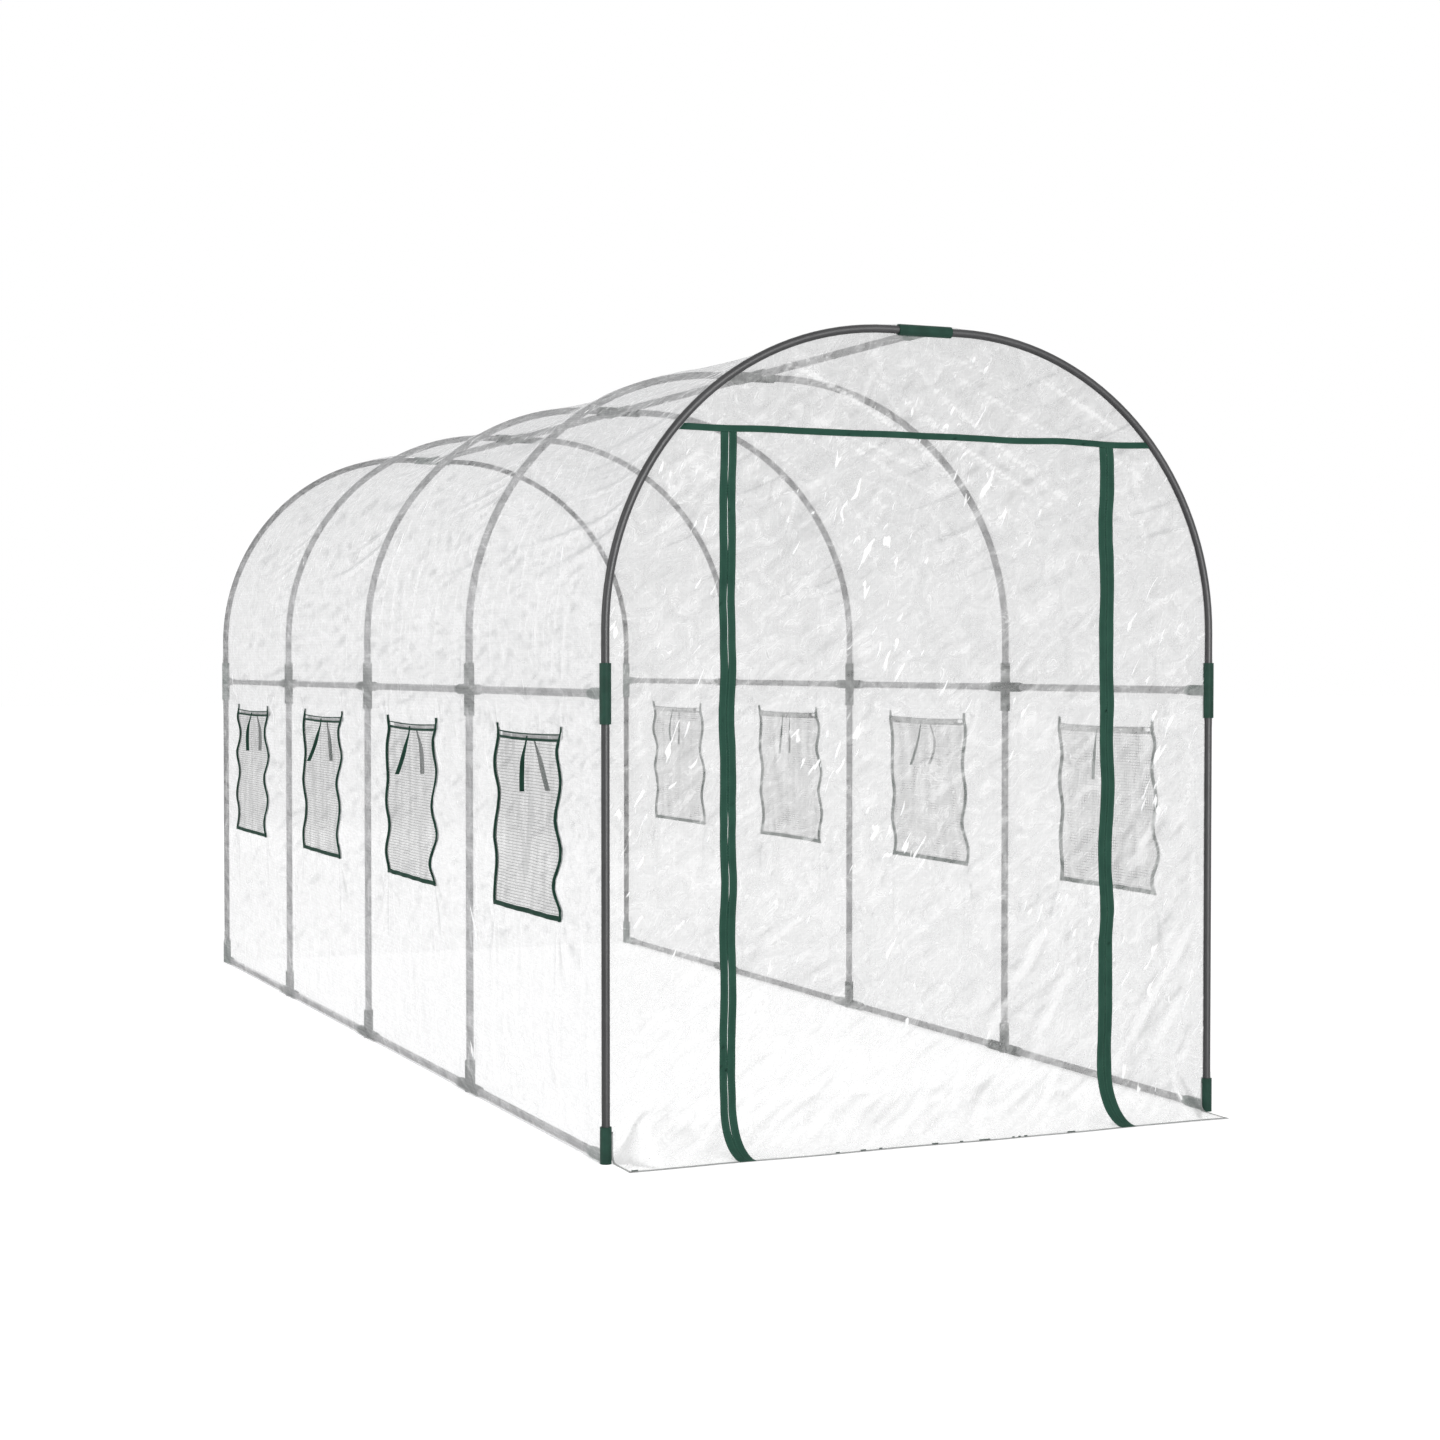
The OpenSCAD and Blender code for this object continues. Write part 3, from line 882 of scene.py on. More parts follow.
def mark_folds(
    mesh: BMesh, sharp: float, share: Callable[[float, float], float] | None = None
) -> None:
    """Write how sharply a sheet is folded at each vertex, for its finish to read as painted highlight and
    shade.

    Args:
        mesh: Sheet whose faces point outwards.
        sharp: Curvature, per metre, of a full crease.
        share: Gives how much of the fold counts at a flat place.
    """
    layer = mesh.verts.layers.float.new("fold")
    flat = mesh.loops.layers.uv["flat"]
    mesh.normal_update()
    for vert in mesh.verts:
        bend = 0.0
        for edge in vert.link_edges:
            run = edge.other_vert(vert).co - vert.co
            bend -= run.dot(vert.normal) / max(run.length_squared, MM * MM)
        if share is not None:
            bend *= share(*vert.link_loops[0][flat].uv)
        vert[layer] = max(-1.0, min(1.0, bend / sharp))


@dataclass(frozen=True)
class TunnelFrame:
    """Sizes of the tube frame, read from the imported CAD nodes."""

    leg_x: float
    tube_r: float
    sleeve_r: float
    front_y: float
    rear_y: float
    hoop_h: float
    spring_z: float
    waist_z: float
    waist_half: float
    crown_half: float
    foot_h: float
    rail_z: float
    socket_reach: float
    bays: int = 4

    TUBE_NODES = (
        "front_legs", "second_legs", "third_legs", "fourth_legs", "rear_legs", "front_arch_tubes",
        "second_arch_tubes", "third_arch_tubes", "fourth_arch_tubes", "rear_arch_tubes",
        "left_waist_purlins", "right_waist_purlins", "ridge_bars", "left_ground_rails",
        "right_ground_rails")
    BARE_TUBES = ("front_legs", "front_arch_tubes", "rear_legs", "rear_arch_tubes")
    FITTING_NODES = (
        "front_ridge_tee", "inner_ridge_crosses", "rear_ridge_tee", "front_waist_tees",
        "left_waist_crosses", "right_waist_crosses", "rear_waist_tees", "front_corner_feet",
        "left_inner_feet", "right_inner_feet", "rear_corner_feet")

    @classmethod
    def from_cad(cls) -> "TunnelFrame":
        """Read the frame's sizes from the boxes of its CAD nodes."""
        legs_lo, legs_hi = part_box("front_legs")
        rear_lo, rear_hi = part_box("rear_legs")
        tees_lo, tees_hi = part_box("front_waist_tees")
        ridge_lo, ridge_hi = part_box("ridge_bars")
        rail_lo, rail_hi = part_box("left_ground_rails")
        tube_r = (legs_hi.y - legs_lo.y) / 2
        leg_x = legs_hi.x - tube_r
        front_y = legs_lo.y + tube_r
        return cls(
            leg_x=leg_x, tube_r=tube_r, sleeve_r=tees_hi.x - leg_x, front_y=front_y,
            rear_y=(rear_lo.y + rear_hi.y) / 2, hoop_h=(ridge_lo.z + ridge_hi.z) / 2,
            spring_z=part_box("roof_film")[0].z, waist_z=(tees_lo.z + tees_hi.z) / 2,
            waist_half=(tees_hi.z - tees_lo.z) / 2, crown_half=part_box("front_ridge_tee")[1].x,
            foot_h=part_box("front_corner_feet")[1].z, rail_z=(rail_lo.z + rail_hi.z) / 2,
            socket_reach=tees_hi.y - front_y)

    @property
    def bend_r(self) -> float:
        """Centreline radius of a hoop's bends."""
        return self.hoop_h - self.spring_z

    @property
    def crown_flat(self) -> float:
        """Half of the straight stretch at a hoop's crown."""
        return self.leg_x - self.bend_r

    @property
    def half_l(self) -> float:
        """Length of a hoop's centreline from the crown to the ground."""
        return self.crown_flat + self.bend_r * math.pi / 2 + self.spring_z

    @property
    def bay_l(self) -> float:
        """Distance from hoop to hoop."""
        return (self.rear_y - self.front_y) / self.bays

    def hoop_y(self, index: int) -> float:
        """Place of a hoop along the tunnel, counted from the door."""
        return self.front_y + index * self.bay_l

    def bay_at(self, y: float) -> tuple[int, float]:
        """Find the bay at a place along the tunnel.

        Args:
            y: Place along the tunnel.

        Returns:
            Number of the bay from the door, and how far through it the place lies, 0 to 1.
        """
        run = (y - self.front_y) / self.bay_l
        bay = min(self.bays - 1, max(0, int(run)))
        return bay, run - bay

    def beside_hoop(self, w: float, out: float) -> Pair:
        """Point beside a hoop's centreline, seen along the tunnel.

        Args:
            w: Distance along the centreline from the crown, negative to the left.
            out: Distance outwards from the centreline.

        Returns:
            The point's X and Z.
        """
        side = math.copysign(1.0, w)
        run = abs(w) - self.crown_flat
        if run <= 0:
            return w, self.hoop_h + out
        turn = run / self.bend_r
        if turn <= math.pi / 2:
            reach = self.bend_r + out
            return (side * (self.crown_flat + reach * math.sin(turn)),
                    self.spring_z + reach * math.cos(turn))
        return side * (self.leg_x + out), self.half_l - abs(w)

    def depth_inside(self, x: float, z: float) -> float:
        """Distance from a point inside a hoop to the hoop's centreline."""
        x = abs(x)
        if z < self.spring_z:
            return self.leg_x - x
        if x > self.crown_flat:
            return self.bend_r - math.hypot(x - self.crown_flat, z - self.spring_z)
        return self.hoop_h - z

    def dress(self) -> None:
        """Give the tubes and the fittings of the CAD frame their finishes."""
        for nodes, bare, inner in ((self.TUBE_NODES, TUBE_COAT, PAINTED_LIGHT_INNER_COAT),
                                   (self.FITTING_NODES, FITTING_PLASTIC, PAINTED_SHADE_INNER_PLASTIC)):
            for node in nodes:
                # Tubes and fittings under the cover take copies painted lighter (tube) and darker
                # (plastic), painted light and shade for how they look through the film
                finish = bare if node.startswith(("front", "rear")) else inner
                finish.dress(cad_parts[node])
        LOG.info("frame: %d tube nodes, %d fitting nodes", len(self.TUBE_NODES),
                 len(self.FITTING_NODES))


@dataclass(frozen=True)
class WindowLayout:
    """Places of the window openings, the same on both long sides."""

    width: float
    sill: float
    top: float
    horn_top: float
    centres: tuple[float, ...]

    @classmethod
    def from_cad(cls, tunnel: TunnelFrame) -> "WindowLayout":
        """Read the openings from the CAD net screens, one at the middle of each bay."""
        low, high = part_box("left_window_screens")
        centres = tuple(tunnel.hoop_y(i) + tunnel.bay_l / 2 for i in range(tunnel.bays))
        return cls(width=2 * (centres[0] - low.y), sill=low.z, top=high.z,
                   horn_top=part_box("left_window_bindings")[1].z, centres=centres)

    def holds(self, y: float, z: float) -> bool:
        """Whether a place on a wall lies in a window opening."""
        return self.sill < z < self.top and any(
            abs(y - centre) < self.width / 2 for centre in self.centres)


@dataclass(frozen=True)
class CoverDrape:
    """How the cover lies: taut over tubes and sleeves, slack, swagged and creased between them."""

    tunnel: TunnelFrame
    windows: WindowLayout
    rest_gap: float = 0.7 * MM
    roof_sag: float = 26 * MM
    left_billow: float = 8.5 * MM
    right_billow: float = 20 * MM
    swag_depth: float = 5 * MM
    swag_pitch: float = 82 * MM
    swag_fall: float = 95 * MM
    # Distances from the crown over which the pleats begin and end, and their share on the right
    pleat_start: Pair = (0.12, 0.3)
    pleat_end: Pair = (1.0, 1.25)
    right_share: float = 0.5
    drape_pitch: float = 100 * MM
    drape_start: Pair = (0.6, 1.25)
    drape_depths: tuple[float, ...] = (4.4 * MM, 3.4 * MM, 2.6 * MM, 2.2 * MM)
    drape_sway: float = 34 * MM
    # Depth of the coarse and the fine creases and of the soft waves, and their lengths both ways
    coarse: Triple = (2.2 * MM, 130 * MM, 110 * MM)
    fine: Triple = (1.2 * MM, 60 * MM, 52 * MM)
    soft: Triple = (4.0 * MM, 400 * MM, 360 * MM)
    # Distances from a tube at which the swags and the creases are free of it
    swag_start: float = 36 * MM
    free_at: float = 70 * MM
    # Distances over which the film comes down from a sleeve and from its sockets
    sleeve_fade: float = 40 * MM
    sleeve_sides: Pair = (14 * MM, 60 * MM)
    socket_sides: Pair = (12 * MM, 45 * MM)
    edge_wave: float = 8 * MM
    edge_reach: float = 62 * MM
    edge_ends: Pair = (20 * MM, 50 * MM)
    edge_pitch: float = 167 * MM
    edge_peaks: tuple[Pair, ...] = (
        (0.25, 0.36), (0.29, 0.35), (0.27, 0.26), (0.34, 0.18))
    corner_depth: float = 3 * MM
    corner_rays: int = 9
    corner_reach: float = 280 * MM

    def off_hoop(self, y: float) -> float:
        """Distance along the tunnel to the nearest hoop."""
        _, t = self.tunnel.bay_at(y)
        return min(t, 1 - t) * self.tunnel.bay_l

    def off_line(self, w: float) -> float:
        """Distance along the hoop to the nearest ridge bar, purlin or ground rail."""
        rise = self.tunnel.half_l - abs(w)
        return min(abs(w), abs(rise - self.tunnel.waist_z), abs(rise - self.tunnel.rail_z))

    def out(self, w: float, y: float) -> float:
        """Distance of the film from the hoops' centreline.

        Args:
            w: Distance along the hoop from the crown, negative to the left.
            y: Place along the tunnel.

        Returns:
            The distance outwards.
        """
        tunnel = self.tunnel
        _, t = tunnel.bay_at(y)
        off_hoop = self.off_hoop(y)
        slack = self.crumples(w, y) + self.drapes(w, y) + self.edge_waves(w, y)
        return (tunnel.tube_r + self.rest_gap + self.over_sleeves(w, off_hoop)
                - self.sag(w) * 4 * t * (1 - t)
                + self.freedom(w, y) * slack
                + ease(off_hoop, tunnel.tube_r, self.swag_start) * self.swags(w, y))

    def freedom(self, w: float, y: float) -> float:
        """How free the film is to leave its plain shape, from 0 on a tube to 1 well away from one."""
        tube_r = self.tunnel.tube_r
        return (ease(self.off_hoop(y), tube_r, self.free_at)
                * ease(self.off_line(w), tube_r, self.free_at))

    def bare(self, w: float, y: float) -> float:
        """Whether the film hangs free of a tube, from 0 on one to 1 just beside it."""
        sleeve_r = self.tunnel.sleeve_r
        return ease(min(self.off_hoop(y), self.off_line(w)), sleeve_r, 2.2 * sleeve_r)

    def over_sleeves(self, w: float, off_hoop: float) -> float:
        """Height by which the film stands up over the thicker fittings.

        Args:
            w: Distance along the hoop from the crown.
            off_hoop: Distance along the tunnel to the nearest hoop.

        Returns:
            The added height.
        """
        tunnel = self.tunnel
        rise = tunnel.half_l - abs(w)
        off_fitting = min(abs(w) - tunnel.crown_half,
                          abs(rise - tunnel.waist_z) - tunnel.waist_half, rise - tunnel.foot_h)
        on_sleeve = ((1 - ease(off_fitting, 0.0, self.sleeve_fade))
                     * (1 - ease(off_hoop, *self.sleeve_sides)))
        reach = tunnel.socket_reach
        on_socket = ((1 - ease(self.off_line(w), *self.socket_sides))
                     * (1 - ease(off_hoop, reach, reach + self.sleeve_fade)))
        return (tunnel.sleeve_r - tunnel.tube_r) * max(on_sleeve, on_socket)

    def sag(self, w: float) -> float:
        """Deepest sag between two hoops, negative where the film billows out.

        Args:
            w: Distance along the hoop from the crown.

        Returns:
            The sag.
        """
        tunnel = self.tunnel
        rise = tunnel.half_l - abs(w)
        if rise < tunnel.waist_z:
            billow = self.left_billow if w < 0 else self.right_billow
            return -billow * math.sin(math.pi * max(0.0, rise) / tunnel.waist_z)
        share = (rise - tunnel.waist_z) / (tunnel.half_l - tunnel.waist_z)
        return self.roof_sag * math.sin(math.pi * min(1.0, share)) ** 0.8

    def pleat(self, w: float, y: float) -> Pair:
        """Find the pleat at a place: they hang from each hoop's haunch and run to the rear.

        Args:
            w: Distance along the hoop from the crown.
            y: Place along the tunnel.

        Returns:
            Number of the pleat, whole on its line, and how deep it is there, 0 to 1.
        """
        bay, t = self.tunnel.bay_at(y)
        reach = abs(w)
        hand = math.copysign(1.0, w)
        start = reach - self.swag_fall * t ** 0.6
        count = start / self.swag_pitch + 0.9 * ripple(start * 4.5, 3.7 * bay + 0.6 * t, hand)
        number = round(count)
        depth = 0.75 + 0.75 * ripple(1.37 * number, 2.3 * bay + 0.5, 4.1 * hand)
        length = 0.42 + 0.3 * ripple(2.11 * number, 1.9 * bay + 0.3, 7.7 * hand)
        fade = ((1 - ease(t, 0.2 * length, length + 0.15))
                * ease(reach, *self.pleat_start) * (1 - ease(reach, *self.pleat_end)))
        faint = 1.0 if w < 0 else self.right_share
        return count, faint * max(0.0, min(1.0, depth)) * fade

    def swags(self, w: float, y: float) -> float:
        """Distance outwards of the soft folds along the pleats."""
        count, depth = self.pleat(w, y)
        off = count - round(count)
        return self.swag_depth * depth * (0.5 * bell(off - 0.3, 0.26) - bell(off, 0.26))

    def drapes(self, w: float, y: float) -> float:
        """Upright creases of the walls, strongest in the bays next to the door.

        Args:
            w: Distance along the hoop from the crown.
            y: Place along the tunnel.

        Returns:
            Distance outwards.
        """
        bay, _ = self.tunnel.bay_at(y)
        hand = math.copysign(1.0, w)
        sway = self.drape_sway * ripple(3.0 * w, 2.4 * y, 2.0 + hand)
        wall = ease(abs(w), *self.drape_start)
        sharp = ridged((y + sway) / self.drape_pitch, 1.5 * w, 5.0 * hand)
        soft = ripple((y + 2 * sway) / (2.2 * self.drape_pitch), 1.1 * w, 9.0 * hand)
        return self.drape_depths[bay] * (0.25 + 0.75 * wall) * (1.2 * sharp + 0.9 * soft)

    def crumples(self, w: float, y: float) -> float:
        """Irregular creases all over the film."""
        hand = math.copysign(1.0, w)
        return sum(
            depth * shape(w / around, y / along, pattern * hand)
            for (depth, around, along), shape, pattern in (
                (self.coarse, ridged, 3.0), (self.fine, ridged, 8.0), (self.soft, ripple, 12.0)))

    def edge_waves(self, w: float, y: float) -> float:
        """Waves of the sewn window edges, and pulled creases at the windows' corners.

        Args:
            w: Distance along the hoop from the crown.
            y: Place along the tunnel.

        Returns:
            Distance outwards.
        """
        bay, _ = self.tunnel.bay_at(y)
        rise = self.tunnel.half_l - abs(w)
        hand = math.copysign(1.0, w)
        middle = (self.windows.sill + self.windows.top) / 2
        tall = (self.windows.top - self.windows.sill) / 2
        inside, outside = self.edge_ends
        beside = 1 - ease(abs(rise - middle), tall - inside, tall + outside)
        total = 0.0
        for edge, share in zip((-1, 1), self.edge_peaks[bay]):
            off = y - self.windows.centres[bay] - edge * self.windows.width / 2
            peak = self.windows.top - 2 * tall * share
            pitch = self.edge_pitch * (1 + 0.12 * math.sin(3.1 * bay + 2.0 * edge + hand))
            swing = (0.85 - 0.2 * edge) * (0.85 + 0.4 * ripple(4.0 * rise, bay, 2.0 * edge))
            wave = -swing * math.cos(2 * math.pi * (rise - peak) / pitch)
            total += self.edge_wave * beside * bell(off, self.edge_reach) * wave
            for corner in (-1, 1):
                up = rise - middle - corner * tall
                spread = math.hypot(off, up)
                if spread > self.corner_reach or off * edge < 0 or up * corner < 0:
                    continue
                angle = math.atan2(abs(up), abs(off) + 1e-6)
                total += (self.corner_depth * math.sin(self.corner_rays * angle + 1.7 * bay + edge)
                          * ease(spread, 0.01, 0.06) * (1 - ease(spread, 0.1, self.corner_reach)))
        return total

    def point(self, y: float, w: float, proud: float = 0.0) -> Vector:
        """Point on the film in the row frame.

        Args:
            y: Place along the tunnel.
            w: Distance along the hoop from the crown.
            proud: Distance in front of the film's outer face.

        Returns:
            The point.
        """
        x, z = self.tunnel.beside_hoop(w, self.out(w, y) + proud)
        return Vector((x, y, z))

    def wall_point(self, side: Side, y: float, z: float, proud: float = 0.0) -> Vector:
        """Point on one of the walls at a height above the ground."""
        return self.point(y, side.value * (self.tunnel.half_l - z), proud)


@dataclass(frozen=True)
class Cover:
    """Film that runs from the ground on one side over the hoops to the ground on the other."""

    tunnel: TunnelFrame
    windows: WindowLayout
    drape: CoverDrape
    foot_gap: float = 1.5 * MM
    haunch_top: float = 400 * MM
    # Grid cells beside a window, across it, and on each stretch from the ground to the crown
    pier_cells: int = 22
    window_cells: int = 40
    climb_cells: tuple[int, ...] = (18, 18, 10, 82, 9, 3)
    crease: float = 20.0

    def build(self) -> Object:
        """Model the cover as one continuous sheet with its window openings cut out.

        Returns:
            The cover.
        """
        tunnel, windows = self.tunnel, self.windows
        runs: list[tuple[float, int]] = []
        for index, centre in enumerate(windows.centres):
            runs += [(centre - windows.width / 2, self.pier_cells),
                     (centre + windows.width / 2, self.window_cells),
                     (tunnel.hoop_y(index + 1), self.pier_cells)]
        along = stops(tunnel.front_y, *runs)
        ground = tunnel.half_l - self.foot_gap
        climb = [tunnel.half_l - windows.sill, tunnel.half_l - windows.top,
                 tunnel.half_l - tunnel.spring_z, self.haunch_top, tunnel.crown_flat, 0.0]
        left = stops(-ground, *[(-w, count) for w, count in zip(climb, self.climb_cells)])
        around = left + [-w for w in reversed(left[:-1])]

        def is_film(y: float, w: float) -> bool:
            """Whether the cover has film at a flat place."""
            return not windows.holds(y, tunnel.half_l - abs(w))

        mesh = bmesh.new()
        add_sheet(mesh, along, around, self.drape.point, is_film)
        turn_faces(mesh, Vector((0.0, 0.0, 1.0)))
        mark_folds(mesh, self.crease, lambda y, w: self.drape.bare(w, y))
        self.mark_pleats(mesh)
        piece = finished_piece("cover_film", mesh, COVER_FILM,
                               ("left_wall_film", "right_wall_film", "roof_film"), turned=True)
        list(tunnel.TUBE_NODES)
        return piece

    def mark_pleats(self, mesh: BMesh) -> None:
        """Write the pleats on the sheet's vertices, for its finish to paint their shade lines and
        highlighted lips.

        Args:
            mesh: The cover's sheet.
        """
        number = mesh.verts.layers.float.new("pleat")
        depth = mesh.verts.layers.float.new("pleat_depth")
        flat = mesh.loops.layers.uv["flat"]
        for vert in mesh.verts:
            y, w = vert.link_loops[0][flat].uv
            vert[number], vert[depth] = self.drape.pleat(w, y)
            vert[depth] *= self.drape.bare(w, y)


@dataclass(frozen=True)
class DoorLayout:
    """Places of the zipped front's parts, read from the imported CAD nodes."""

    zip_x: float
    zip_w: float
    header_z: float
    header_h: float
    skirt_r: float

    @classmethod
    def from_cad(cls, tunnel: TunnelFrame) -> "DoorLayout":
        """Read the door from the boxes of its zip, header band and film."""
        zip_lo, zip_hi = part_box("right_door_zip")
        band_lo, band_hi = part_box("door_header_band")
        return cls(zip_x=(zip_lo.x + zip_hi.x) / 2, zip_w=zip_hi.x - zip_lo.x,
                   header_z=(band_lo.z + band_hi.z) / 2, header_h=band_hi.z - band_lo.z,
                   skirt_r=tunnel.front_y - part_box("front_door_film")[0].y)


@dataclass(frozen=True)
class FrontCurtain:
    """Shape that the whole zipped front hangs in: its skirt, billows, waves and creases."""

    tunnel: TunnelFrame
    door: DoorLayout
    billow: float = 7 * MM
    zip_wave: float = 2.6 * MM
    wrinkle: float = 6.5 * MM
    hem_lift: float = 1.2 * MM
    tight_fold: float = 0.15
    edge_reach: float = 95 * MM
    zip_reach: float = 110 * MM
    zip_pitches: Pair = (270 * MM, 470 * MM)
    hem_stray: float = 7 * MM
    hem_slack: float = 40 * MM
    pull_sway: float = 20 * MM
    skirt_free: float = 110 * MM
    # Depth of the soft, the slanting and the fine creases, and their lengths both ways
    soft: Triple = (3.0 * MM, 150 * MM, 130 * MM)
    slanting: Triple = (1.3 * MM, 160 * MM, 60 * MM)
    fine: Triple = (0.4 * MM, 70 * MM, 30 * MM)
    slant: float = 0.7
    # Turn of the long pulled wrinkles, and the place, depth and width of each
    pull_tilt: float = 57.0
    pulls: tuple[Triple, ...] = (
        (0.02, 0.8, 0.020), (0.09, -0.7, 0.018), (0.15, 1.0, 0.024), (0.24, 0.9, 0.018),
        (0.33, -0.8, 0.024), (0.40, 0.8, 0.018), (0.47, 1.0, 0.020), (0.54, -0.7, 0.018))

    @property
    def skirt_l(self) -> float:
        """Length of the skirt's curve, from the hem to the upright film."""
        return self.door.skirt_r * math.pi / 2

    @property
    def head(self) -> float:
        """Distance along the film from the hem to the middle of the header band."""
        return self.run_to(self.door.header_z)

    def run_to(self, z: float) -> float:
        """Distance along the film from the hem to a height on its upright part."""
        return self.skirt_l + z - self.door.skirt_r

    def height_at(self, v: float) -> float:
        """Height of a place on the film, taking the skirt as if it hung straight."""
        return v - self.skirt_l + self.door.skirt_r

    def relief(self, x: float, v: float) -> float:
        """Distance by which the film stands in front of its plain shape.

        Args:
            x: Place across the tunnel.
            v: Distance along the film from the hem.

        Returns:
            The distance, negative behind.
        """
        z = self.height_at(v)
        edge = ease(self.tunnel.depth_inside(x, z), self.tunnel.tube_r, self.edge_reach)
        billow = self.billow * ripple(x / 0.62, z / 0.8, 4.0)
        creased = sum(
            depth * ripple((x + lean * z) / wide, (z - lean * x) / tall, pattern)
            for (depth, wide, tall), lean, pattern in (
                (self.soft, 0.0, 1.0), (self.slanting, self.slant, 2.0),
                (self.fine, self.slant, 6.0)))
        total = billow + creased + self.zip_waves(x, z) + self.wrinkles(x, z)
        return edge * ease(v, -self.hem_slack, self.skirt_l) * total

    def zip_waves(self, x: float, z: float) -> float:
        """Waves of the stiff zips, which the film beside them follows."""
        total = 0.0
        for hand in (-1, 1):
            off = x - hand * self.door.zip_x
            short, long = (2 * math.pi * z / pitch for pitch in self.zip_pitches)
            wave = math.sin(short + 1.1 * hand) + 0.7 * math.sin(long + 2.3 * hand)
            total += bell(off, self.zip_reach) * wave
        return self.zip_wave * total

    def wrinkles(self, x: float, z: float) -> float:
        """Long pulled wrinkles low on the right and beside the header band.

        Args:
            x: Place across the tunnel.
            z: Height.

        Returns:
            Distance in front of the plain shape.
        """
        tilt = math.radians(self.pull_tilt)
        sway = self.pull_sway * ripple(3 * x, 3 * z, 5.0)
        slant = x * math.sin(tilt) - z * math.cos(tilt) + sway
        low = ease(x, -0.1, 0.25) * ease(z, 0.05, 0.2) * (1 - ease(z, 0.6, 0.95))
        total = sum(
            depth * bell(slant - at, wide) * max(0.0, 0.3 + ripple(7 * x, 7 * z, 20 * at))
            for at, depth, wide in self.pulls)
        high = ease(z, 1.45, 1.7)
        lean = x * 0.5 + (z - 1.7)
        return self.wrinkle * (low * total + 0.6 * high * ridged(lean / 0.09, x / 0.5, 3.0))

    def point(self, x: float, v: float, proud: float = 0.0) -> Vector:
        """Point on the front film in the row frame.

        Args:
            x: Place across the tunnel.
            v: Distance along the film from the hem.
            proud: Distance in front of the film.

        Returns:
            The point.
        """
        ahead, up, turn = self.profile(x, v)
        lie = self.hem_stray * ripple(x / 0.23, 0.4, 8.0) * (1 - ease(v, 0.0, self.skirt_l))
        out = self.relief(x, v) + proud
        y = self.tunnel.front_y - ahead - out * math.sin(turn) + lie
        z = up + out * math.cos(turn)
        return Vector((x, y, max(z + self.hem_lift, self.hem_lift + proud)))

    def profile(self, x: float, v: float) -> Triple:
        """Plain shape of the film seen from the side: upright, then out on the ground.

        Args:
            x: Place across the tunnel.
            v: Distance along the film from the hem.

        Returns:
            Distance in front of the hoop, height, and the film's slope, 0 flat to upright.
        """
        reach = self.door.skirt_r
        if v >= self.skirt_l:
            return 0.0, reach + v - self.skirt_l, math.pi / 2
        # The feet hold the skirt's two ends down, so it folds tightly there
        loose = ease(self.tunnel.leg_x - abs(x), self.tunnel.sleeve_r, self.skirt_free)
        radius = reach * (self.tight_fold + (1 - self.tight_fold) * loose)
        straight, bend = reach - radius, radius * math.pi / 2
        run = v / self.skirt_l * (2 * straight + bend)
        if run < straight:
            return reach - run, 0.0, 0.0
        if run < straight + bend:
            turn = (run - straight) / radius
            return radius - radius * math.sin(turn), radius - radius * math.cos(turn), turn
        return 0.0, radius + run - straight - bend, math.pi / 2


@dataclass(frozen=True)
class EndFilm:
    """What the two end films share: an outline inside the hoop and room for its fittings."""

    tunnel: TunnelFrame
    edge_gap: float = 0.4 * MM
    bend_cuts: int = 44
    crease: float = 22.0

    def trim(self, mesh: BMesh, hoop_y: float) -> None:
        """Cut a sheet to the inside of the hoop and draw it in beside the fittings.

        Args:
            mesh: Sheet that stands across the tunnel.
            hoop_y: Place of the hoop along the tunnel.
        """
        tunnel = self.tunnel
        inset = tunnel.tube_r + self.edge_gap
        reach = tunnel.bend_r - inset
        for hand in (-1, 1):
            for step in range(self.bend_cuts + 1):
                angle = math.pi / 2 * step / self.bend_cuts
                normal = Vector((hand * math.cos(angle), 0.0, math.sin(angle)))
                centre = Vector((hand * tunnel.crown_flat, 0.0, tunnel.spring_z))
                geom = [*mesh.verts, *mesh.edges, *mesh.faces]
                bmesh.ops.bisect_plane(mesh, geom=geom, plane_co=centre + normal * reach,
                                       plane_no=normal, clear_outer=True)
        room = tunnel.sleeve_r + self.edge_gap
        for vert in mesh.verts:
            co = vert.co
            if abs(co.y - hoop_y) > room:
                continue
            if co.z < tunnel.foot_h or abs(co.z - tunnel.waist_z) < tunnel.waist_half:
                limit = tunnel.leg_x - room
                co.x = max(-limit, min(limit, co.x))
            if abs(co.x) < tunnel.crown_half:
                co.z = min(co.z, tunnel.hoop_h - room)

    def outline_area(self) -> float:
        """Flat area inside the hoop, from the ground to the crown."""
        tunnel = self.tunnel
        inset = tunnel.tube_r + self.edge_gap
        radius = tunnel.bend_r - inset
        return (2 * (tunnel.leg_x - inset) * tunnel.spring_z + math.pi / 2 * radius ** 2
                + 2 * tunnel.crown_flat * radius)


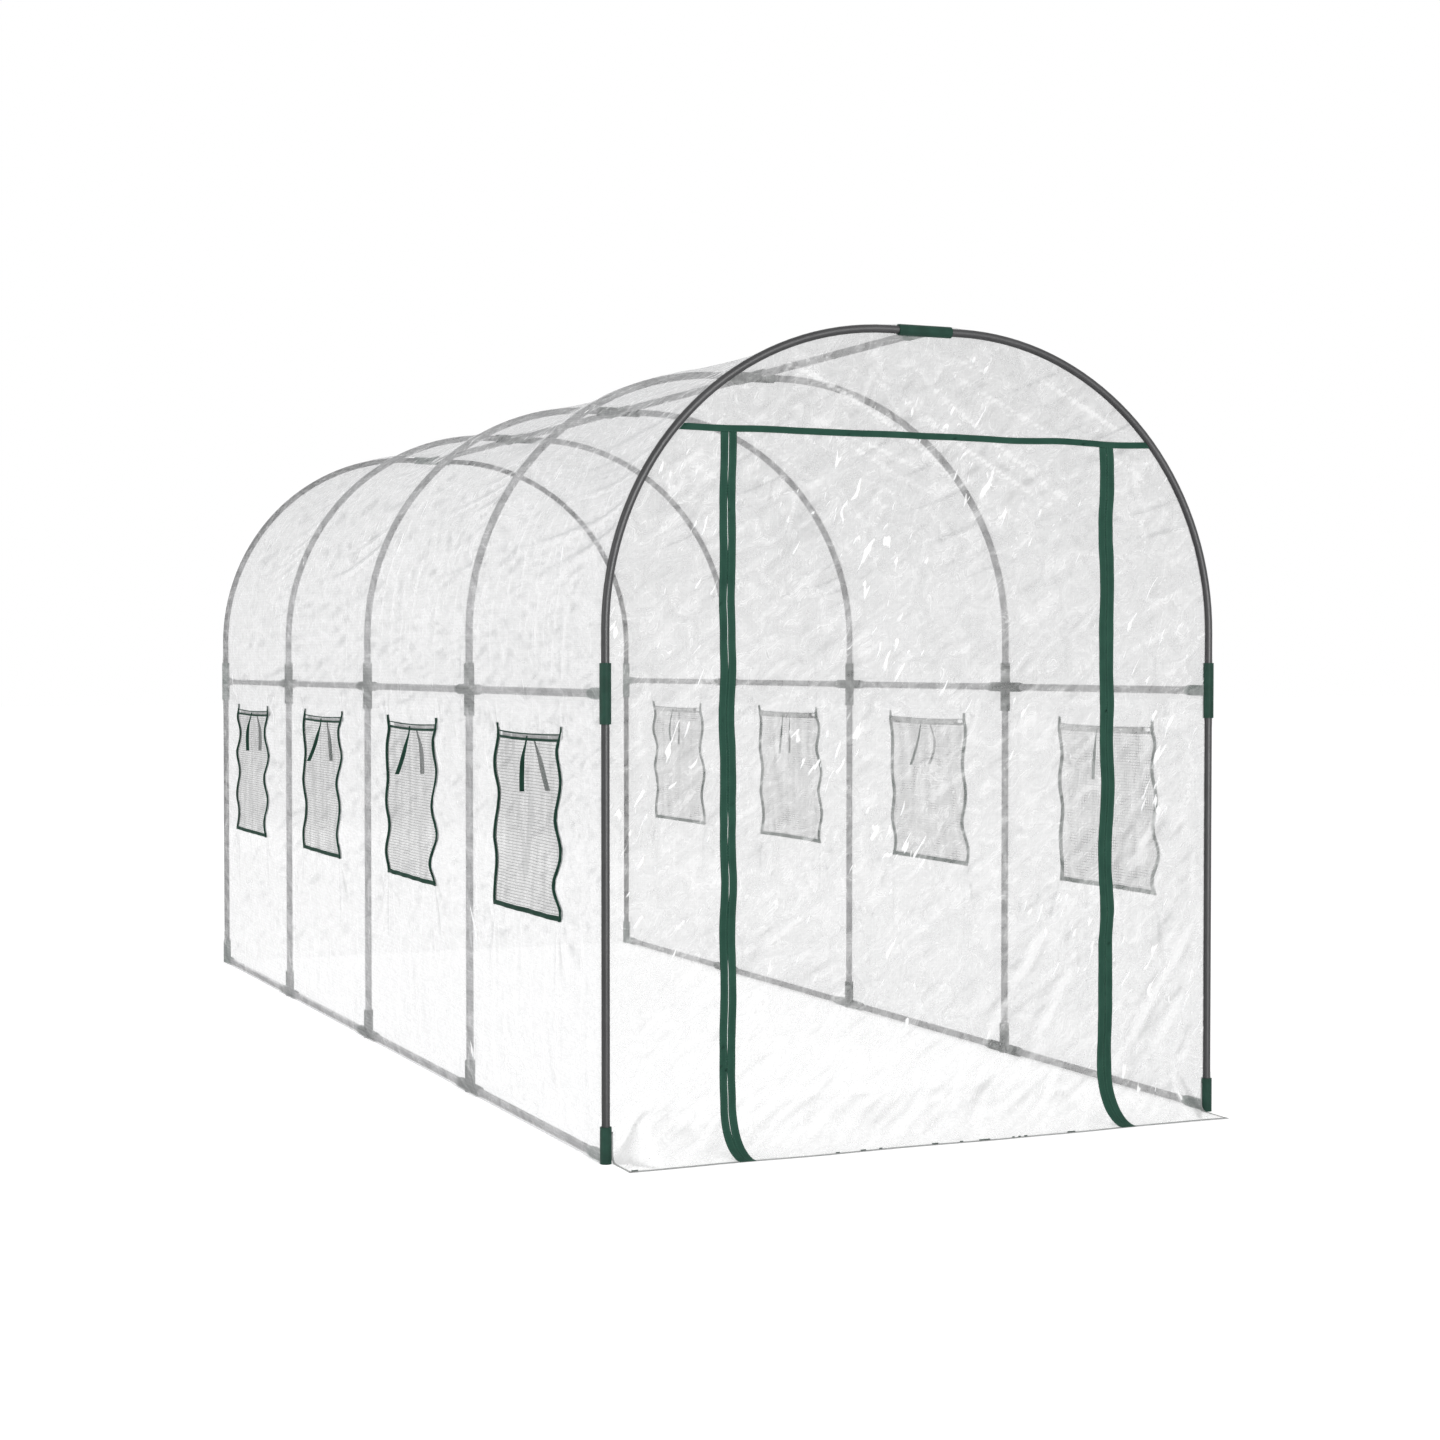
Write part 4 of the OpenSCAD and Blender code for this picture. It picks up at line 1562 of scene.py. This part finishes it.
@dataclass(frozen=True, kw_only=True)
class FrontEnd(EndFilm):
    """Front film with its skirt, the door panel, two zips, the header band and the hem."""

    door: DoorLayout
    curtain: FrontCurtain
    step: float = 8 * MM
    seam: float = 4 * MM
    tape_t: float = 0.9 * MM
    tape_lift: float = 0.8 * MM
    slit: float = 0.05 * MM
    tooth_pitch: float = 6.5 * MM
    tooth_w: float = 4.6 * MM
    tooth_t: float = 0.9 * MM
    tooth_share: float = 0.96
    tooth_round: float = 0.3 * MM
    tooth_lift: float = 0.6 * MM
    band_h: float = 15 * MM
    band_t: float = 1.1 * MM
    band_lift: float = 1.9 * MM
    band_wave: float = 1.8 * MM
    hem_w: float = 10 * MM
    hem_t: float = 0.7 * MM
    hem_lift: float = 0.3 * MM
    hem_inset: float = 3 * MM
    # How far the left zip's tapes part over the coil, and the heights between which they do
    gape: float = 0.7 * MM
    gape_fade: float = 15 * MM
    gapes: tuple[Pair, ...] = (
        (0.046, 0.183), (0.25, 0.459), (0.617, 0.691), (0.751, 0.811), (1.178, 1.36),
        (1.456, 1.571), (1.619, 1.727))
    thread_d: float = 3 * MM
    # Middle and length of each dark stitch that shows along the hem
    stitches: tuple[Pair, ...] = (
        (-818 * MM, 16 * MM), (-295 * MM, 10 * MM), (-225 * MM, 14 * MM), (-177 * MM, 8 * MM),
        (-28 * MM, 16 * MM), (44 * MM, 8 * MM), (108 * MM, 30 * MM), (190 * MM, 6 * MM),
        (208 * MM, 6 * MM), (226 * MM, 8 * MM), (358 * MM, 22 * MM))

    def build(self) -> list[Object]:
        """Model and dress every piece of the front.

        Returns:
            The pieces, films first.
        """
        hems = [self.hem(), self.hem_stitches()]
        zips = [self.zip(side) for side in Side]
        band = self.header_band()
        return [self.gable(band), self.panel(hems), *zips, band, *hems]

    def steps(self, length: float) -> int:
        """Number of grid cells along a length."""
        return max(1, round(length / self.step))

    def gable(self, band: Object) -> Object:
        """Model the film round the door, down to the hem on both sides.

        Args:
            band: The header band that is sewn to it; not used.

        Returns:
            The front film.
        """
        tunnel, door, curtain = self.tunnel, self.door, self.curtain
        edge = tunnel.leg_x - tunnel.tube_r - self.edge_gap
        jamb = door.zip_x + door.zip_w / 2 - self.seam
        head = curtain.head
        top = curtain.run_to(tunnel.hoop_h - tunnel.tube_r)
        across = stops(-edge, (-jamb, self.steps(edge - jamb)), (jamb, self.steps(2 * jamb)),
                       (edge, self.steps(edge - jamb)))
        along = stops(0.0, (curtain.skirt_l, self.steps(curtain.skirt_l)),
                      (head, self.steps(head - curtain.skirt_l)), (top, self.steps(top - head)))
        mesh = bmesh.new()
        add_sheet(mesh, across, along, curtain.point,
                  lambda x, v: abs(x) > jamb or v > head)
        self.trim(mesh, tunnel.front_y)
        turn_faces(mesh, Vector((0.0, -1.0, 0.0)))
        mark_folds(mesh, self.crease)
        piece = finished_piece("front_gable_sheet", mesh, FRONT_FILM, ("front_gable_film",), turned=True)
        tall = curtain.skirt_l - door.skirt_r
        area = self.outline_area() + 2 * edge * tall - 2 * jamb * head
        return piece

    def panel(self, hems: Sequence[Object]) -> Object:
        """Model the door panel between the zips.

        Args:
            hems: The hem's pieces; not used.

        Returns:
            The door panel.
        """
        door, curtain = self.door, self.curtain
        half = door.zip_x - door.zip_w / 2 + self.seam
        head = curtain.head
        across = stops(-half, (half, self.steps(2 * half)))
        along = stops(0.0, (curtain.skirt_l, self.steps(curtain.skirt_l)),
                      (head, self.steps(head - curtain.skirt_l)))
        mesh = bmesh.new()
        add_sheet(mesh, across, along, curtain.point)
        turn_faces(mesh, Vector((0.0, -1.0, 0.0)))
        mark_folds(mesh, self.crease)
        piece = finished_piece("door_panel_sheet", mesh, FRONT_FILM, ("front_door_film",), turned=True)
        return piece

    def zip(self, side: Side) -> Object:
        """Model one zip: two tapes that nearly meet over a row of coil turns.

        Args:
            side: Which of the two zips.

        Returns:
            The zip.
        """
        door, curtain = self.door, self.curtain
        head = curtain.head
        along = stops(0.0, (head, self.steps(head)))
        width = door.zip_w / 2 - self.slit
        gape = self.gape if side is Side.LEFT else 0.0
        mesh = bmesh.new()
        for hand in (-1, 1):
            lane = side.value * door.zip_x + hand * (width / 2 + self.slit)

            def on_front(u: float, v: float, proud: float) -> Vector:
                """Point on one tape, whose inner edge opens over the coil here and there."""
                inner = ease(-u * hand, 0.0, width / 2)
                drift = hand * gape * self.open_at(curtain.height_at(v)) * inner
                return curtain.point(lane + u + drift, v, proud + self.tape_lift)

            add_tape(mesh, width, self.tape_t, along, on_front)
        piece = finished_piece(f"{side.word}_zip_tapes", mesh, ZIP_TAPE,
                               (f"{side.word}_door_zip",))
        self.coil(side, head)
        return piece

    def open_at(self, z: float) -> float:
        """How far the left zip gapes at a height, from 0 to 1."""
        soft = self.gape_fade
        return max(ease(z, low - soft, low + soft) * (1 - ease(z, high - soft, high + soft))
                   for low, high in self.gapes)

    def coil(self, side: Side, head: float) -> Object:
        """Model the coil of one zip as a row of small rounded turns.

        Args:
            side: Which of the two zips.
            head: Length of the zip along the film.

        Returns:
            The coil.
        """
        mesh = bmesh.new()
        mesh.loops.layers.uv.new("flat")
        count = int(head / self.tooth_pitch)
        x = side.value * self.door.zip_x
        for index in range(count):
            v = (index + 0.5) * self.tooth_pitch
            here, there = (self.curtain.point(x, v + step, self.tooth_lift) for step in (0.0, MM))
            up = (there - here).normalized()
            front = Vector((1.0, 0.0, 0.0)).cross(up)
            turn = Matrix((Vector((1.0, 0.0, 0.0)), up, front)).transposed().to_4x4()
            shape = Matrix.Diagonal((self.tooth_w, self.tooth_share * self.tooth_pitch,
                                     self.tooth_t, 1.0))
            cube = bmesh.ops.create_cube(mesh, size=1.0,
                                         matrix=Matrix.Translation(here) @ turn @ shape)
            edges = list(dict.fromkeys(edge for vert in cube["verts"] for edge in vert.link_edges))
            bmesh.ops.bevel(mesh, geom=edges, offset=self.tooth_round, offset_type="OFFSET",
                            segments=1, profile=0.5, affect="EDGES", material=-1)
        return finished_piece(f"{side.word}_zip_coil", mesh, ZIP_COIL)

    def header_band(self) -> Object:
        """Model the band that is sewn across the film over the door."""
        curtain = self.curtain
        half = self.tunnel.leg_x
        along = stops(-half, (half, self.steps(2 * half)))
        mesh = bmesh.new()

        def on_front(u: float, v: float, proud: float) -> Vector:
            """Point on the band, which runs across the film and waves a little."""
            wave = self.band_wave * ripple(v / 0.16, 2.0, 5.0)
            return curtain.point(v, curtain.head + u + wave, proud + self.band_lift)

        add_tape(mesh, self.band_h, self.band_t, along, on_front)
        self.trim(mesh, self.tunnel.front_y)
        return finished_piece("header_band_tape", mesh, ZIP_TAPE, ("door_header_band",))

    def hem(self) -> Object:
        """Model the welded hem along the skirt's front edge and up its two side edges.

        Returns:
            The hem.
        """
        curtain = self.curtain
        half = self.tunnel.leg_x - self.tunnel.tube_r - self.hem_inset
        mesh = bmesh.new()

        def on_front(u: float, v: float, proud: float) -> Vector:
            """Point on the hem, which runs across the skirt's edge."""
            return curtain.point(v, max(0.0, u + self.hem_w / 2), proud + self.hem_lift)

        along = stops(-half, (half, self.steps(2 * half)))
        add_tape(mesh, self.hem_w, self.hem_t, along, on_front)
        climb = stops(0.0, (0.8 * curtain.skirt_l, 20))
        for hand in (-1, 1):

            def on_side(u: float, v: float, proud: float) -> Vector:
                """Point on a side hem, which runs up the skirt."""
                x = hand * (half - self.hem_w / 4) + u
                return curtain.point(x, v, proud + self.hem_lift)

            add_tape(mesh, self.hem_w / 2, self.hem_t, climb, on_side)
        return finished_piece("skirt_hem", mesh, HEM_FILM)

    def hem_stitches(self) -> Object:
        """Model the dark stitches that hold the hem here and there.

        Returns:
            The stitches.
        """
        curtain = self.curtain
        mesh = bmesh.new()

        def on_hem(u: float, v: float, proud: float) -> Vector:
            """Point on a stitch."""
            return curtain.point(v, self.hem_w / 2 + u, proud + self.thread_d)

        for place, length in self.stitches:
            along = stops(place - length / 2, (place + length / 2, 3))
            add_piping(mesh, self.thread_d, self.thread_d, along, on_hem, 6)
        return finished_piece("skirt_hem_stitches", mesh, HEM_THREAD)


@dataclass(frozen=True)
class RearEnd(EndFilm):
    """Plain film inside the last hoop."""

    step: float = 13 * MM
    foot_gap: float = 1.5 * MM
    edge_reach: float = 95 * MM
    foot_reach: float = 90 * MM
    billow: float = 12 * MM
    crumple: float = 4.5 * MM
    wrinkle: float = 1.8 * MM

    def place(self, x: float, z: float) -> Vector:
        """Point on the rear film in the row frame."""
        tunnel = self.tunnel
        edge = (ease(tunnel.depth_inside(x, z), tunnel.tube_r, self.edge_reach)
                * ease(z, 0.0, self.foot_reach))
        slack = (self.billow * ripple(x / 0.6, z / 0.75, 11.0)
                 + self.crumple * ridged(x / 0.19, z / 0.17, 13.0)
                 + self.wrinkle * ridged((x - z) / 0.07, (x + z) / 0.1, 15.0))
        return Vector((x, tunnel.rear_y + edge * slack, z))

    def build(self) -> Object:
        """Model the rear film as one crumpled sheet.

        Returns:
            The rear film.
        """
        tunnel = self.tunnel
        edge = tunnel.leg_x - tunnel.tube_r - self.edge_gap
        top = tunnel.hoop_h - tunnel.tube_r
        across = stops(-edge, (edge, round(2 * edge / self.step)))
        along = stops(self.foot_gap, (top, round(top / self.step)))
        mesh = bmesh.new()
        add_sheet(mesh, across, along, self.place)
        self.trim(mesh, tunnel.rear_y)
        turn_faces(mesh, Vector((0.0, 1.0, 0.0)))
        mark_folds(mesh, self.crease / 2)
        piece = finished_piece("rear_gable_sheet", mesh, REAR_FILM, ("rear_gable_film",), turned=True)
        self.outline_area()
        return piece


@dataclass(frozen=True)
class WindowRow:
    """The four net windows of one long side, with bindings, rolled flaps and ties."""

    side: Side
    windows: WindowLayout
    drape: CoverDrape
    binding_w: float = 13 * MM
    binding_t: float = 10 * MM
    top_line_w: float = 5 * MM
    top_line_t: float = 1.6 * MM
    line_sag: float = 4 * MM
    line_lift: float = 0.5 * MM
    net_gap: float = 0.4 * MM
    net_slack: float = 2.5 * MM
    horn_lean: float = 4 * MM
    horn_slim: float = 0.3
    roll_r: float = 8 * MM
    core_r: float = 2.2 * MM
    roll_gap: float = 1.5 * MM
    roll_droop: float = 5 * MM
    roll_wobble: float = 1.5 * MM
    flap_drop: float = 460 * MM
    flap_inset: float = 34 * MM
    tie_w: float = 13 * MM
    tie_t: float = 0.8 * MM
    tie_l: float = 148 * MM
    # Gaps from the film to the outer tie and from the roll to the inner one
    outer_gap: float = 2.5 * MM
    inner_gap: float = 3 * MM
    # How far a tie is sewn beside the middle, how far it swings back, and its rise over the net
    tie_offset: float = 5 * MM
    tie_swing: float = 6 * MM
    tie_rise: float = 4 * MM
    # Turn of the ties in degrees, on the left and on the right
    tie_turns: Pair = (52.0, -8.0)
    # Grid cells across and up a net, along a binding's uprights and level edges, along a flap,
    # round one turn of its roll, and down a tie
    net_cells: tuple[int, int] = (40, 36)
    upright_cells: int = 54
    level_cells: int = 56
    flap_cells: int = 14
    turn_cells: int = 22
    tie_cells: int = 26
    # How far each tie's end curls off the net and its middle bows, from the door on
    outer_curls: tuple[Pair, ...] = (
        (6 * MM, 4 * MM), (32 * MM, -2 * MM), (36 * MM, -3 * MM), (8 * MM, 6 * MM))
    inner_curls: tuple[Pair, ...] = (
        (30 * MM, 2 * MM), (12 * MM, 5 * MM), (8 * MM, 0.0), (5 * MM, 4 * MM))
    far_outer_curls: tuple[Pair, ...] = (
        (6 * MM, 2 * MM), (8 * MM, 22 * MM), (4 * MM, 1 * MM), (2 * MM, 2 * MM))
    far_inner_curls: tuple[Pair, ...] = (
        (16 * MM, 4 * MM), (40 * MM, 0.0), (16 * MM, 2 * MM), (10 * MM, 12 * MM))

    def build(self) -> Iterator[Object]:
        """Model and dress the windows one after another.

        Yields:
            Each piece as it is made.
        """
        for index in range(len(self.windows.centres)):
            label = f"{self.side.word}_window_{index + 1}"
            binding = self.binding(index, f"{label}_binding")
            yield binding
            yield self.screen(index, f"{label}_screen")
            yield self.flap(index, f"{label}_flap")
            yield from self.ties(index, label)

    def screen(self, index: int, name: str) -> Object:
        """Model one net screen behind its binding.

        Args:
            index: Number of the window from the door.
            name: Name of the piece.

        Returns:
            The screen.
        """
        windows = self.windows
        start = windows.centres[index] - windows.width / 2
        across = stops(start, (start + windows.width, self.net_cells[0]))
        along = stops(windows.sill, (windows.top, self.net_cells[1]))

        def on_wall(y: float, z: float) -> Vector:
            """Point on the net, a little slack between its edges."""
            rim = min(y - start, start + windows.width - y, z - windows.sill, windows.top - z)
            back = self.net_gap + self.net_slack * ease(rim, 0.0, 0.15)
            return self.drape.wall_point(self.side, y, z, -back)

        mesh = bmesh.new()
        add_sheet(mesh, across, along, on_wall)
        turn_faces(mesh, Vector((self.side.value, 0.0, 0.0)))
        piece = finished_piece(name, mesh, WINDOW_NET, (f"{self.side.word}_window_screens",), turned=True)
        return piece

    def binding(self, index: int, name: str) -> Object:
        """Model the binding of one window: two sides with horns, a sill and a thin top line.

        Args:
            index: Number of the window from the door.
            name: Name of the piece.

        Returns:
            The binding.
        """
        windows = self.windows
        centre, half = windows.centres[index], windows.width / 2
        mesh = bmesh.new()
        upright = stops(windows.sill - self.binding_w / 2, (windows.horn_top, self.upright_cells))
        for edge in (-half, half):
            lean = math.copysign(self.horn_lean, edge)

            def up_side(u: float, v: float, proud: float) -> Vector:
                """Point on an upright edge, whose thin horn leans outwards."""
                horn = ease(v, windows.top, windows.horn_top)
                slim = 1 - self.horn_slim * horn
                return self.drape.wall_point(self.side, centre + edge + u * slim + lean * horn, v,
                                             proud * slim)

            add_piping(mesh, self.binding_w, self.binding_t, upright, up_side)

        def on_sill(u: float, v: float, proud: float) -> Vector:
            """Point on the lower edge."""
            return self.drape.wall_point(self.side, v, windows.sill + u, proud)

        def on_top(u: float, v: float, proud: float) -> Vector:
            """Point on the thin tape along the upper edge, which sags a little."""
            dip = self.line_sag * (1 - ((v - centre) / half) ** 2)
            return self.drape.wall_point(self.side, v, windows.top + u - dip, proud + self.line_lift)

        def over_top(u: float, v: float, proud: float) -> Vector:
            """Point on the seam that holds the flap, over its roll."""
            return on_top(u + 1.7 * self.roll_r, v, proud)

        level = stops(centre - half, (centre + half, self.level_cells))
        add_piping(mesh, self.binding_w, self.binding_t, level, on_sill)
        add_tape(mesh, self.top_line_w, self.top_line_t, level, on_top)
        add_tape(mesh, self.top_line_w / 2, self.top_line_t / 2, level, over_top)
        return finished_piece(name, mesh, SEWN_BINDING, (f"{self.side.word}_window_bindings",))

    def flap(self, index: int, name: str) -> Object:
        """Model one film flap, rolled up in a spiral inside the upper edge.

        Args:
            index: Number of the window from the door.
            name: Name of the piece.

        Returns:
            The rolled flap.
        """
        windows = self.windows
        start = windows.centres[index] - windows.width / 2
        turns = self.flap_drop / (math.pi * (self.roll_r + self.core_r))
        end = start + windows.width - self.flap_inset
        across = stops(start + self.flap_inset, (end, self.flap_cells))
        along = stops(0.0, (1.0, round(self.turn_cells * turns)))

        def rolled(y: float, share: float) -> Vector:
            """Point on the spiral, which droops between its ends."""
            radius = self.roll_r + (self.core_r - self.roll_r) * share
            angle = 2 * math.pi * turns * share
            t = (y - start) / windows.width
            droop = self.roll_droop * math.sin(math.pi * t)
            droop += self.roll_wobble * ripple(y / 0.12, index, 3.0)
            swell = 1 + 0.12 * ripple(y / 0.09, 2.0 * index, self.side.value)
            radius *= swell
            wall = self.drape.wall_point(self.side, y, windows.top)
            axis_x = abs(wall.x) - 1.2 * self.roll_r - self.roll_gap
            return Vector((self.side.value * (axis_x - radius * math.cos(angle)), y,
                           windows.top + 0.7 * self.roll_r + radius * math.sin(angle) - droop))

        mesh = bmesh.new()
        add_sheet(mesh, across, along, rolled)
        flat = mesh.loops.layers.uv["flat"]
        for face in mesh.faces:
            for loop in face.loops:
                loop[flat].uv.y *= self.flap_drop
        # Left flaps take the grey copy with painted shade, right flaps the paler copy with painted light
        finish = PAINTED_SHADE_ROLL if self.side is Side.LEFT else PAINTED_LIGHT_ROLL
        piece = finished_piece(name, mesh, finish, (f"{self.side.word}_window_flaps",))
        return piece

    def ties(self, index: int, label: str) -> Iterator[Object]:
        """Model the two tie tapes of one window, one outside and one inside.

        Args:
            index: Number of the window from the door.
            label: Start of the pieces' names.

        Yields:
            Each tie.
        """
        windows = self.windows
        centre = windows.centres[index]
        along = stops(0.0, (self.tie_l, self.tie_cells))
        face_x = abs(self.drape.wall_point(self.side, centre, windows.top).x)
        left = self.side is Side.LEFT
        turn = math.radians(self.tie_turns[0 if left else 1])
        for where, way, clear, curls in (
                ("outer", 1, self.outer_gap, self.outer_curls if left else self.far_outer_curls),
                ("inner", -1, 2 * self.roll_r + self.inner_gap,
                 self.inner_curls if left else self.far_inner_curls)):
            curl, bow = curls[index]

            def hanging(u: float, v: float, proud: float) -> Vector:
                """Point on a tie, which is gathered at its seam, widens and curls off the net."""
                share = v / self.tie_l
                wide = u * (0.42 + 0.58 * ease(share, 0.05, 0.6))
                twist = turn * (0.55 + 0.45 * ease(share, 0.0, 0.5))
                off = clear + curl * share ** 1.4 + bow * math.sin(math.pi * share)
                off += 0.5 * self.tie_w * math.sin(twist) * ease(share, 0.0, 0.4)
                y = centre + way * (self.tie_swing * share - self.tie_offset)
                y += wide * math.cos(twist)
                out = way * (off + proud) + wide * math.sin(twist)
                return Vector((self.side.value * (face_x + out), y,
                               windows.top + self.tie_rise - v * (1 - 0.05 * share)))

            mesh = bmesh.new()
            add_tape(mesh, self.tie_w, self.tie_t, along, hanging)
            piece = finished_piece(f"{label}_{where}_tie", mesh, SEWN_BINDING,
                                   (f"{self.side.word}_window_ties",))
            yield piece


@dataclass(frozen=True)
class SoftLamp:
    """A soft lamp behind a grid, pointed at the middle of the tunnel."""

    name: str
    power: float
    place: Triple
    size: Pair
    # CAD nodes that the lamp lights, if it is flagged off everything else
    only: tuple[str, ...] = ()
    # Angle over which the grid lets light out, so that the floor beside the tunnel stays even
    spread: float = 90.0
    aim: Triple = (0.0, 0.0, 0.9)

    def hang(self) -> None:
        """Hang the lamp in the scene, out of the camera's sight."""
        data = bpy.data.lights.new(self.name, "AREA")
        data.energy = self.power
        data.shape = "RECTANGLE"
        data.size, data.size_y = self.size
        data.spread = math.radians(self.spread)
        lamp = bpy.data.objects.new(self.name, data)
        lamp.visible_camera = False
        lamp.location = self.place
        beam = Vector(self.aim) - Vector(self.place)
        lamp.rotation_euler = beam.to_track_quat("-Z", "Y").to_euler()
        bpy.context.scene.collection.objects.link(lamp)
        if self.only:
            lit = bpy.data.collections.new(f"{self.name}_lit")
            for node in self.only:
                lit.objects.link(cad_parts[node])
            lamp.light_linking.receiver_collection = lit


@dataclass(frozen=True)
class Studio:
    """Pale floor, soft light and the camera."""

    tunnel: TunnelFrame
    floor_half: float = 60.0
    floor_gap: float = 0.3 * MM
    # Strength of the room's light at eye level and overhead
    horizon: float = 1.12
    zenith: float = 0.45
    lamps: tuple[SoftLamp, ...] = (
        SoftLamp("soft_key", 98.0, (-9.0, -1.5, 3.6), (5.0, 5.0)),
        SoftLamp("soft_fill", 56.0, (-0.3, -9.5, 2.0), (1.6, 1.6)),
        SoftLamp("soft_rim", 40.0, (0.6, 12.0, 2.2), (1.6, 1.6)),
        SoftLamp("gloss_strip", 220.0, (0.9, -9.5, 2.4), (2.2, 4.6), TunnelFrame.BARE_TUBES))
    lens: float = 60.46
    sensor: float = 36.0
    # Place of the camera, in front of the first hoop, and its turn in degrees
    camera_place: Triple = (-2.861, -5.306, 1.178)
    camera_yaw: float = 23.52
    camera_pitch: float = -1.34
    # Number of sheets that a ray can pass through
    film_layers: int = 32

    def build(self) -> None:
        """Make the floor, the light and the camera."""
        scene = bpy.context.scene
        scene.view_settings.view_transform = "Standard"
        scene.cycles.transparent_max_bounces = self.film_layers
        self.lay_floor()
        self.light_world()
        for lamp in self.lamps:
            lamp.hang()
        self.place_camera()

    def lay_floor(self) -> None:
        """Lay the paper floor just under the object."""
        mesh = bmesh.new()
        bmesh.ops.create_grid(mesh, x_segments=1, y_segments=1, size=self.floor_half,
                              matrix=Matrix.Translation((0.0, 0.0, -self.floor_gap)))
        data = bpy.data.meshes.new("studio_floor")
        mesh.to_mesh(data)
        mesh.free()
        floor = bpy.data.objects.new("studio_floor", data)
        bpy.context.scene.collection.objects.link(floor)
        FLOOR_PAPER.dress(floor)

    def light_world(self) -> None:
        """Light the room softly, brightest at the level of the eye, with white behind the object."""
        world = bpy.data.worlds.new("studio_room")
        world.use_nodes = True
        tree = world.node_tree
        tree.nodes.clear()
        upward = add_node(tree, "SeparateXYZ", {0: add_node(tree, "TexCoord").outputs["Generated"]})
        height = add_node(tree, "MapRange",
                          {"Value": upward.outputs["Z"], "To Min": self.horizon,
                           "To Max": self.zenith})
        room = add_node(tree, "Background",
                        {"Color": linear("#fcfcfc"), "Strength": height.outputs[0]})
        white = add_node(tree, "Background", {"Color": linear("#ffffff")})
        mixed = add_node(tree, "MixShader",
                         {0: backdrop_rays(tree), 1: room.outputs[0], 2: white.outputs[0]})
        add_node(tree, "OutputWorld", {"Surface": mixed.outputs[0]})
        bpy.context.scene.world = world

    def place_camera(self) -> None:
        """Stand the camera where the photograph was taken from."""
        data = bpy.data.cameras.new("camera")
        data.lens = self.lens
        data.sensor_width = self.sensor
        data.sensor_height = self.sensor
        camera = bpy.data.objects.new("camera", data)
        x, y, z = self.camera_place
        camera.location = (x, self.tunnel.front_y + y, z)
        camera.rotation_euler = (math.radians(90 + self.camera_pitch), 0.0,
                                 math.radians(-self.camera_yaw))
        bpy.context.scene.collection.objects.link(camera)
        bpy.context.scene.camera = camera


def main() -> None:
    """Build the scene: frame finishes, cover, ends, windows and studio."""
    logging.basicConfig(level=logging.INFO, format="%(name)s: %(message)s")
    tunnel = TunnelFrame.from_cad()
    windows = WindowLayout.from_cad(tunnel)
    door = DoorLayout.from_cad(tunnel)
    drape = CoverDrape(tunnel, windows)
    Studio(tunnel).build()
    tunnel.dress()
    Cover(tunnel, windows, drape).build()
    FrontEnd(tunnel, door=door, curtain=FrontCurtain(tunnel, door)).build()
    RearEnd(tunnel).build()
    for side in Side:
        pieces = list(WindowRow(side, windows, drape).build())
        LOG.info("%s side: %d window pieces", side.word, len(pieces))


if __name__ == "__main__":
    main()
